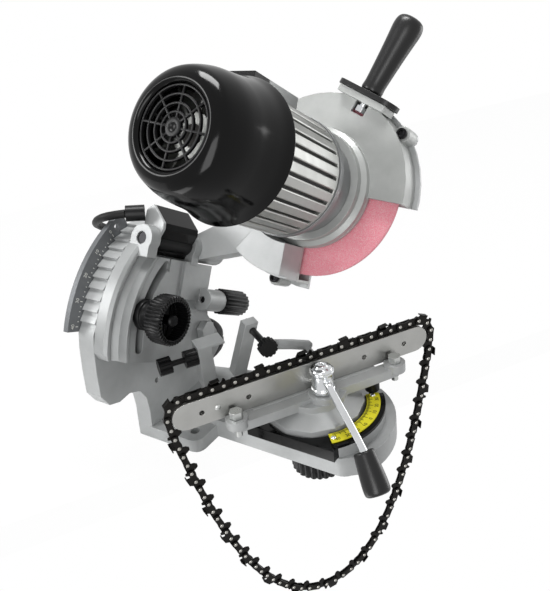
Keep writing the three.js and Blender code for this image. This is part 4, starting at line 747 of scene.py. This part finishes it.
def smooth_line(points, count=CURVE_STEPS):
    """A curve through the points, with count steps between each two."""
    ends = [points[0] * 2 - points[1], *points, points[-1] * 2 - points[-2]]
    line = []
    for a, b, c, d in zip(ends, ends[1:], ends[2:], ends[3:]):
        knots = [0]
        for first, second in ((a, b), (b, c), (c, d)):
            knots.append(knots[-1] + max(TINY, (second - first).length) ** 0.5)
        t0, t1, t2, t3 = knots
        for i in range(count):
            t = t1 + (t2 - t1) * i / count
            a1 = a * ((t1 - t) / (t1 - t0)) + b * ((t - t0) / (t1 - t0))
            a2 = b * ((t2 - t) / (t2 - t1)) + c * ((t - t1) / (t2 - t1))
            a3 = c * ((t3 - t) / (t3 - t2)) + d * ((t - t2) / (t3 - t2))
            b1 = a1 * ((t2 - t) / (t2 - t0)) + a2 * ((t - t0) / (t2 - t0))
            b2 = a2 * ((t3 - t) / (t3 - t1)) + a3 * ((t - t1) / (t3 - t1))
            line.append(b1 * ((t2 - t) / (t2 - t1)) + b2 * ((t - t1) / (t2 - t1)))
    return [*line, points[-1]]


def smooth_profile(points, count):
    """A lathe outline through (radius, height) points."""
    line = smooth_line([Vector((radius, 0, height)) for radius, height in points], count)
    return [(point.x, point.z) for point in line]


def tube_ring(bm, point, ahead, across, radius, sides):
    turns = [Matrix.Rotation(FULL_TURN * k / sides, 3, ahead) for k in range(sides)]
    return [bm.verts.new(point + turn @ across * radius) for turn in turns]


def tube_form(line, radius, sides=TUBE_SIDES):
    """A tube round a line, its section carried along without twist."""
    bm = bmesh.new()
    ahead = (line[1] - line[0]).normalized()
    across = ahead.orthogonal().normalized()
    start = tube_ring(bm, line[0], ahead, across, radius, sides)
    ring = start
    for i in range(1, len(line)):
        following = (line[min(i + 1, len(line) - 1)] - line[i - 1]).normalized()
        turn = ahead.rotation_difference(following).to_matrix()
        across = (turn @ across).normalized()
        ahead = following
        fresh = tube_ring(bm, line[i], ahead, across, radius, sides)
        for k in range(sides):
            bm.faces.new((ring[k], ring[(k + 1) % sides], fresh[(k + 1) % sides], fresh[k]))
        ring = fresh
    bm.faces.new(list(reversed(start)))
    bm.faces.new(ring)
    return bm


def make_cord():
    points = cord_line()
    route = len(CORD_ROUTE)
    line = smooth_line(points[:route + 2])[:-2 * CURVE_STEPS] + points[route + 1:]
    length = sum((b - a).length for a, b in zip(line, line[1:]))
    cord = shown("mains_cord", tube_form(line, CORD_RADIUS), None, RUBBER, WORLD,
                 ("cord_upper", "cord_lower", "cord_coil"))
    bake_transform(cord)
    tuple(line[0] / METRE)
    length / METRE
    [tuple(p / METRE) for p in line]
    print("cord length, metres:", round(length / METRE, 3))


make_cord()


# Motor: finned housing
def fin_outline():
    rise = [(0, FIN_DEPTH), (FIN_SIDE_SHARE, FIN_ROUND), (FIN_ROUND_SHARE, 0)]
    fall = [(FIN_SHARE - share, depth) for share, depth in reversed(rise)]
    outline = []
    for i in range(FIN_COUNT):
        for share, depth in rise + fall:
            turn = FULL_TURN * (i + share + FIN_START_SHARE) / FIN_COUNT
            outline.append(((FIN_RADIUS - depth) * math.cos(turn), (FIN_RADIUS - depth) * math.sin(turn)))
    return outline


def fins_form():
    inner, outer = FIN_RADIUS - FIN_DEPTH, FIN_RADIUS - GAP / 2
    forms = [slab(fin_outline(), BODY_FROM + GAP, BODY_TO)]
    for low in (BODY_FROM + GAP, BODY_TO - FIN_CLOSED):
        high = low + FIN_CLOSED
        forms.append(spun([(inner, low), (outer, low), (outer, high), (inner, high)], FINE, True))
    return joined(forms)


# A dark sleeve just outside the floor of the slots: painted shade that darkens the slots between the fins
def sleeve_form():
    radius = FIN_RADIUS - FIN_DEPTH + GAP / 2
    return spun([(radius, BODY_FROM + 2 * GAP), (radius, BODY_TO - GAP)], FINE)


shown("motor_fins", fins_form(), "head", ALUMINIUM, SHAFT, ("stator_housing",), sharp=25)
shown("motor_slot_painted_shade", sleeve_form(), "head", SLOT_PAINTED_SHADE, SHAFT)


# Motor: glossy fan cover, with a rolled edge round the grille
def cover_form():
    deep = COVER_TO - COVER_FROM
    outer = [(FIN_RADIUS * wide, COVER_FROM + deep * along) for wide, along in COVER_SHARES]
    start, end = (outer[place] for place in COVER_INSIDE)
    roll = [(COVER_LIP + out, COVER_TO - down) for out, down in COVER_ROLL]
    seat = GRILLE_AT - COVER_SEAT
    inner = COVER_LIP + COVER_WALL
    profile = [(outer[0][0] - COVER_WALL, COVER_FROM), *smooth_profile(outer, COVER_STEPS), *roll,
               (COVER_LIP, seat), (inner, seat), (inner, COVER_TO - COVER_UNDER),
               (end[0] - COVER_WALL, end[1] - COVER_WALL), (start[0] - COVER_WALL, start[1])]
    return spun(profile, FINE, True)


shown("motor_fan_cover", cover_form(), "head", GLOSS, SHAFT, ("fan_cover",), sharp=50)


# Motor: grille of rings, spokes and a dished hub
def grille_form():
    low, high = GRILLE_AT, GRILLE_AT + GRILLE_THICK
    parts = []
    for radius in GRILLE_RINGS:
        inner = radius - GRILLE_WIRE
        hoop = spun([(radius, low), (radius, high), (inner, high), (inner, low)], MID, True)
        parts.append((rounded(hoop, GRILLE_ROUND), AS_IT_IS))
    hub = [(GRILLE_HUB * share, high + rise) for share, rise in GRILLE_HUB_TOP]
    hub += [(GRILLE_HUB, low), (0, low)]
    parts.append((rounded(spun(hub, MID), GRILLE_ROUND), AS_IT_IS))
    half = GRILLE_WIRE / 2
    end = GRILLE_RINGS[0] - SPOKE_END
    for i in range(SPOKE_COUNT):
        outline = [(SPOKE_FROM, -half), (end, -half), (end, half), (SPOKE_FROM, half)]
        spoke = slab(outline, low, high - SPOKE_SUNK)
        turn = Matrix.Rotation(GRILLE_TURN + FULL_TURN * i / SPOKE_COUNT, 4, "Z")
        parts.append((rounded(spoke, SPOKE_ROUND), turn))
    return gathered(parts)


shown("motor_grille", grille_form(), "head", BLACK, SHAFT, ("fan_grille",), sharp=35)


# Grinding wheel, speckled, with a chamfered rim
def disc_form():
    half = WHEEL_THICK / 2
    flat = half - WHEEL_CHAMFER
    rim = WHEEL_RADIUS - WHEEL_CHAMFER
    profile = [(WHEEL_BORE, -half), (rim, -half), (WHEEL_RADIUS, -flat), (WHEEL_RADIUS, flat), (rim, half),
               (WHEEL_BORE, half)]
    return spun(profile, FINE, True)


shown("grinding_disc", disc_form(), "rotor", PINK, SHAFT, ("grinding_wheel",), sharp=50)


# Handle grip, turned to its tapered form
def handle_place():
    return HEAD @ Matrix.Translation((0, -HANDLE_M, 0)) @ Matrix.Rotation(QUARTER - HANDLE_ANGLE, 4, "Y")


def grip_form():
    start = GRIP_BASE + GAP
    long = GRIP_END - start
    line = smooth_profile([(radius, start + long * share) for share, radius in GRIP_PROFILE], GRIP_STEPS)
    return spun([(GRIP_BORE, start), *line, (0, GRIP_END)], MID)


shown("handle_grip_turned", grip_form(), "head", GRIP, handle_place(), ("handle_grip",),
      sharp=50)


# Knobs
def lock_knob_form():
    collar_radius, collar_long = LOCK_COLLAR
    radius, long = LOCK_KNOB
    skirt, rise, slope = LOCK_SKIRT
    low = BRACKET_FACE + collar_long
    high = low + long
    wide = collar_radius + skirt
    collar = spun([(LOCK_BORE, BRACKET_FACE), (wide, BRACKET_FACE), (wide, BRACKET_FACE + rise),
                   (collar_radius, BRACKET_FACE + rise + slope), (collar_radius, low + KNOB_JOIN),
                   (LOCK_BORE, low + KNOB_JOIN)], MID, True)
    knob = knob_form(radius, low, high, LOCK_FLUTES, LOCK_FLUTE_DEEP, LOCK_RECESS, LOCK_RIM,
                     LOCK_FLUTE_STEPS)
    boss = spun([(across, high - down) for across, down in LOCK_BOSS], MID)
    return joined([rounded(collar, LOCK_ROUND), knob, rounded(boss, LOCK_BOSS_ROUND)])


LOCK_PLACE = TILTED @ Matrix.Translation(LOCK_AT) @ FROM_PLATE
shown("tilt_lock_knob_fluted", lock_knob_form(), "tilt_lock_knob", BLACK, LOCK_PLACE,
      ("tilt_lock_knob",))


def depth_knob_form():
    radius, long = DEPTH_KNOB
    shank, end = DEPTH_SHANK
    bottom = DEPTH_TOP - long
    body = knob_form(radius, bottom + DEPTH_CROWN_OUT, DEPTH_TOP, DEPTH_FLUTES, DEPTH_FLUTE_DEEP)
    low, high = (radius - inset for inset in DEPTH_CROWN_INSET)
    over = bottom + DEPTH_CROWN_LONG
    crown = spun([(0, bottom), (low, bottom), (high, over), (0, over)], MID)
    start = DEPTH_TOP - DEPTH_SHANK_IN
    stem = spun([(0, start), (shank, start), (shank, end), (0, end)], FEW)
    return joined([body, rounded(crown, DEPTH_CROWN_ROUND), stem])


DEPTH_PLACE = TILTED @ Matrix.Translation(DEPTH_AT) @ Matrix.Rotation(QUARTER, 4, "X")
shown("depth_stop_knob_fluted", depth_knob_form(), "depth_stop_knob", BLACK, DEPTH_PLACE,
      ("depth_stop_knob",))


def lower_knob_form():
    radius, top, bottom = LOWER_KNOB
    bore, wide = LOWER_COLLAR
    body = knob_form(radius, -top, -bottom, LOWER_FLUTES, LOWER_FLUTE_DEEP, LOWER_RECESS, LOWER_RIM)
    end = -top + KNOB_JOIN
    collar = rounded(spun([(bore, GAP), (wide, GAP), (wide, end), (bore, end)], MID, True), LOWER_ROUND)
    return gathered([(form, Matrix.Rotation(HALF_TURN, 4, "X")) for form in (body, collar)])


shown("turntable_knob_fluted", lower_knob_form(), "turntable_lock_knob", BLACK, VISE,
      ("turntable_lock_knob",))


# Clamp: a turned hub, a bent rod and a tapered grip
def clamp_grip_form():
    start, end = (Vector(point) for point in CLAMP_GRIP)
    long = (end - start).length
    line = smooth_profile([(radius, long * share) for share, radius in CLAMP_GRIP_PROFILE], GRIP_STEPS)
    form = spun([(ROD_RADIUS + GAP, 0), *line, (0, long)], MID)
    place = Matrix.Translation(start) @ (end - start).to_track_quat("Z", "Y").to_matrix().to_4x4()
    return gathered([(form, place)])


def clamp_hub_form():
    drum = rounded(spun(HUB_PROFILE, MID, True), HUB_ROUND)
    cap = rounded(spun(CAP_PROFILE, MID), CAP_ROUND)
    return gathered([(drum, Matrix.Translation((*CAM_AT, 0))), (cap, Matrix.Translation((*POST_AT, 0)))])


def clamp_rod_form():
    return tube_form(smooth_line([Vector(point) for point in ROD_LINE]), ROD_RADIUS, FEW)


shown("clamp_hub_turned", clamp_hub_form(), "clamp_lever", CHROME, VISE, ("clamp_hub",), sharp=35)
shown("clamp_rod_bent", clamp_rod_form(), "clamp_lever", CHROME, VISE, ("clamp_rod",), sharp=50)
shown("clamp_grip_turned", clamp_grip_form(), "clamp_lever", GRIP, VISE, ("clamp_grip",),
      sharp=50)


# Saw chain: separate links round the rail and the hanging loop
def chain_path():
    right = (RAIL_TO - RAIL_ROUND + CHAIN_RIGHT, RAIL_MIDDLE)
    left = (RAIL_FROM + RAIL_ROUND, RAIL_MIDDLE)
    points = arc(CHAIN_BEND, HALF_TURN, QUARTER, FEW, left)
    points += arc(CHAIN_BEND, QUARTER, 0, FEW, right)
    for i in range(1, LOOP_STEPS):
        spread = LOOP_SPREAD * (1 - 2 * i / LOOP_STEPS)
        points.append((LOOP_MIDDLE + spread, LOOP_LOW + LOOP_SAG * (math.cosh(spread / LOOP_SAG) - 1)))
    return [Vector(point) for point in points]


def chain_rivets():
    path = chain_path()
    path.append(path[0])
    lengths = [0]
    for a, b in zip(path, path[1:]):
        lengths.append(lengths[-1] + (b - a).length)
    count = CUTTER_EVERY * round(lengths[-1] / CHAIN_PITCH / CUTTER_EVERY)
    rivets = []
    k = 0
    for i in range(count):
        along = lengths[-1] * i / count
        while lengths[k + 1] < along:
            k += 1
        share = (along - lengths[k]) / max(TINY, lengths[k + 1] - lengths[k])
        rivets.append(path[k].lerp(path[k + 1], share))
    return rivets


def strap_outline(radius, waist, reach):
    outline = arc(radius, -STRAP_ARC, STRAP_ARC, ARC_STEPS, (reach, 0))
    outline += [(0, waist)]
    outline += arc(radius, HALF_TURN - STRAP_ARC, HALF_TURN + STRAP_ARC, ARC_STEPS, (-reach, 0))
    return outline + [(0, -waist)]


def link_place(first, second):
    """Local X from one rivet to the next, Y outwards, Z across the rail."""
    along = (second - first).normalized()
    middle = (first + second) / 2
    outward = Vector((-along.y, along.x))
    return Matrix(((0, 0, 1, 0), (along.x, outward.x, 0, middle.x), (along.y, outward.y, 0, middle.y),
                   (0, 0, 0, 1)))


def chain_forms():
    rivets = chain_rivets()
    count = len(rivets)
    reach = CHAIN_PITCH / 2
    strap = strap_outline(STRAP_RADIUS, STRAP_WAIST, reach)
    inner = DRIVE_THICK / 2 + LINK_GAP
    outer = inner + STRAP_THICK
    sides = {1: (inner, outer), -1: (-outer, -inner)}
    drive = slab(arc(DRIVE_RADIUS, -DRIVE_ARC, QUARTER, ARC_STEPS, (reach, 0))
                 + arc(DRIVE_RADIUS, QUARTER, HALF_TURN + DRIVE_ARC, ARC_STEPS, (-reach, 0))
                 + list(reversed(DRIVE_TOOTH)), -DRIVE_THICK / 2, DRIVE_THICK / 2)
    plates = {way: slab(strap, *sides[way]) for way in (-1, 1)}
    cutters = {}
    for way in (-1, 1):
        low, high = sides[way]
        side = slab(CUTTER_SIDE, low, high)
        (x0, y0), (x1, y1) = CUTTER_TOP
        top = slab([(x0, y0), (x1, y1), (x1, y1 + CUTTER_RISE), (x0, y0 + CUTTER_RISE)],
                   -CUTTER_REACH if way > 0 else low, high if way > 0 else CUTTER_REACH)
        cutters[way] = joined([side, top])
    parts = []
    heads = []
    flat = RIVET_RADIUS * RIVET_FLAT_SHARE
    proud = outer + RIVET_PROUD
    rivet = spun([(0, proud), (flat, proud), (RIVET_RADIUS, outer - GAP), (RIVET_RADIUS, GAP - outer),
                  (flat, -proud), (0, -proud)], RIVET_STEPS)
    for i, here in enumerate(rivets):
        place = link_place(here, rivets[(i + 1) % count])
        spot = place.copy()
        spot.translation = (0, here.x, here.y)
        heads.append((rivet, spot))
        if i % 2 == 0:
            parts.append((drive, place))
            continue
        way = 1 if i % (2 * CUTTER_EVERY) < CUTTER_EVERY else -1
        if i % CUTTER_EVERY == 1:
            parts.append((cutters[way], place))
            parts.append((plates[-way], place))
        else:
            parts.append((plates[1], place))
            parts.append((plates[-1], place))
    return gathered(parts), gathered(heads)


links, heads = chain_forms()
shown("saw_chain_links", links, "turntable", DARK, VISE, ("saw_chain",), sharp=25)
shown("saw_chain_rivets", heads, "turntable", BRIGHT_RIVET, VISE, sharp=35)


# Marks: ticks and plain numbers, raised a little off their plates
def figures(label, size, thick):
    curve = bpy.data.curves.new("figures", "FONT")
    curve.body = label
    curve.size = size
    curve.align_x = "CENTER"
    curve.align_y = "CENTER"
    curve.extrude = thick / 2
    holder = bpy.data.objects.new("figures", curve)
    bpy.context.scene.collection.objects.link(holder)
    bpy.context.view_layer.update()
    mesh = bpy.data.meshes.new_from_object(holder)
    bm = bmesh.new()
    bm.from_mesh(mesh)
    bpy.data.objects.remove(holder)
    bpy.data.meshes.remove(mesh)
    return bm


def tick(start, long, wide, low, high):
    """A short line along local X."""
    end = start + long
    return slab([(start, -wide / 2), (end, -wide / 2), (end, wide / 2), (start, wide / 2)], low, high)


def scale_marks():
    parts = []
    start = SCALE_INNER + SCALE_TICK_INSET
    middle = SCALE_OUTER - SCALE_FIGURE_INSET
    for angle in range(SCALE_FIRST, SCALE_LAST + 1):
        rank = 0 if angle % NUMBERED == 0 else 1 if angle % LONGER == 0 else 2
        long, wide = SCALE_TICKS[rank]
        turn = Matrix.Rotation(math.radians(angle), 4, "Z")
        parts.append((tick(start, long, wide, SCALE_TOP - SCALE_LIFT, SCALE_TOP + SCALE_LIFT), turn))
        if rank == 0:
            text = figures(str(abs(angle)), SCALE_FIGURE, SCALE_LIFT)
            place = turn @ Matrix.Translation((middle, 0, SCALE_TOP + SCALE_LIFT / 2))
            parts.append((text, place @ Matrix.Rotation(QUARTER, 4, "Z")))
    return gathered(parts)


def rivet_heads(places, size):
    radius, rise = size
    head = spun([(radius * wide, rise * tall) for wide, tall in DOME_SHARES], FEW)
    return gathered([(head, place) for place in places])


def scale_rivets():
    out = Matrix.Translation(((SCALE_INNER + SCALE_OUTER) / 2, 0, SCALE_TOP))
    places = [Matrix.Rotation(math.radians(angle), 4, "Z") @ out for angle in SCALE_RIVETS]
    return rivet_heads(places, SCALE_RIVET)


ROUND_VISE = WORLD @ Matrix.Translation(VISE_AT)
shown("scale_numbers", scale_marks(), "base", INK, ROUND_VISE)
shown("scale_rivets", scale_rivets(), "base", CHROME, ROUND_VISE)


def plate_marks():
    parts = []
    for mark in range(0, PLATE_LAST + 1, PLATE_STEP):
        numbered = mark % NUMBERED == 0
        long = PLATE_TICK_LONG if numbered else PLATE_TICK_SHORT
        form = tick(PLATE_INNER + PLATE_TICK_INSET, long, PLATE_TICK_WIDE,
                    PLATE_FRONT - PLATE_LIFT / 2, PLATE_FRONT + PLATE_LIFT)
        turn = Matrix.Rotation(QUARTER + math.radians(PLATE_ZERO + mark), 4, "Z")
        parts.append((form, turn))
        if numbered:
            text = figures(str(mark), PLATE_FIGURE, PLATE_LIFT)
            out = Matrix.Translation((PLATE_INNER + PLATE_FIGURE_OUT, 0, PLATE_FRONT + PLATE_LIFT / 2))
            place = turn @ out
            parts.append((text, place @ Matrix.Rotation(-QUARTER, 4, "Z")))
    return gathered(parts)


BASE_PLATE = WORLD @ Matrix.Translation((0, 0, TILT_HEIGHT)) @ FROM_PLATE
shown("number_plate_marks", plate_marks(), "base", WHITE_INK, BASE_PLATE)


# Screws: a round head with a round socket
def socket_screw():
    radius, rise = SOCKET_HEAD
    wide, deep = SOCKET
    profile = [(0, rise - deep), (wide, rise - deep), (wide, rise), (radius, rise), (radius, 0), (0, 0)]
    return rounded(spun(profile, SCREW_STEPS), GAP)


def guard_screws():
    head = socket_screw()
    out = Matrix.Translation((GUARD_SCREW_AT, 0, GUARD_SCREW_TOP))
    return gathered([(head, Matrix.Rotation(math.radians(angle), 4, "Z") @ out) for angle in GUARD_SCREWS])


def rail_rivet():
    place = Matrix.Translation((RAIL_FACE, *RAIL_RIVET_AT)) @ Matrix.Rotation(QUARTER, 4, "Y")
    return rivet_heads([place], RAIL_RIVET)


shown("guard_screws", guard_screws(), "head", SCREW_BLACK, SHAFT)
shown("rail_rivet", rail_rivet(), "front_jaw", ZINC, VISE)


# Every other CAD node is shown by a welded copy of itself, smooth where it is round
FINISHES = {
    "cast_grey": CAST, "cast_satin": SATIN, "fin_aluminium": ALUMINIUM, "zinc_steel": ZINC, "chrome": CHROME,
    "rail_steel": RAIL, "dark_steel": DARK, "black_plastic": BLACK, "gloss_black": GLOSS,
    "red_plastic": RED, "yellow_scale": YELLOW, "pink_abrasive": PINK, "cord_rubber": RUBBER,
}
OWN_FINISH = {
    "return_spring": BLACK, "number_plate": NUMBER, "hinge_cover": GLOSS, "clamp_grip": GRIP,
    "handle_plate": GRIP, "hinge_bolt": SCREW_BLACK, "tilt_pivot_bolt": CAST, "tilt_lock_stud": SCREW_BLACK,
    "stop_bracket": SATIN, "stop_finger": SATIN, "motor_front_shield": SHIELD, "tilt_bracket": BRACKET,
    "wheel_guard": GUARD, "cooling_fan": ALUMINIUM, "scale_bar": GLOSS,
}


def welded_copy(name, original):
    bm = bmesh.new()
    bm.from_mesh(original.data)
    bmesh.ops.remove_doubles(bm, verts=bm.verts, dist=WELD / METRE)
    mesh = bpy.data.meshes.new(name)
    bm.to_mesh(mesh)
    bm.free()
    if "custom_normal" in mesh.attributes:
        mesh.attributes.remove(mesh.attributes["custom_normal"])
    mesh.shade_smooth()
    mesh.set_sharp_from_angle(angle=SOFT_ANGLE)
    copy = bpy.data.objects.new(name, mesh)
    bpy.context.scene.collection.objects.link(copy)
    return copy


def dress_nodes():
    slots = {row["node"]: row["material_slot"] for row in frame["record"]["subparts"]}
    bodies = frame["record"]["behaviour"]["bodies"]
    home = {node: body for body, nodes in bodies.items() for node in nodes}
    for node, original in sorted(frame["nodes"].items()):
        if original.hide_render:
            continue
        # The cord's plug stays the frame's own piece
        if node == "plug":
            original.data.materials.clear()
            original.data.materials.append(BLACK)
            continue
        copy = welded_copy(node + "_finished", original)
        copy.data.materials.clear()
        copy.data.materials.append(OWN_FINISH.get(node, FINISHES[slots[node]]))
        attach(copy, home[node])
        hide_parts(node)


dress_nodes()
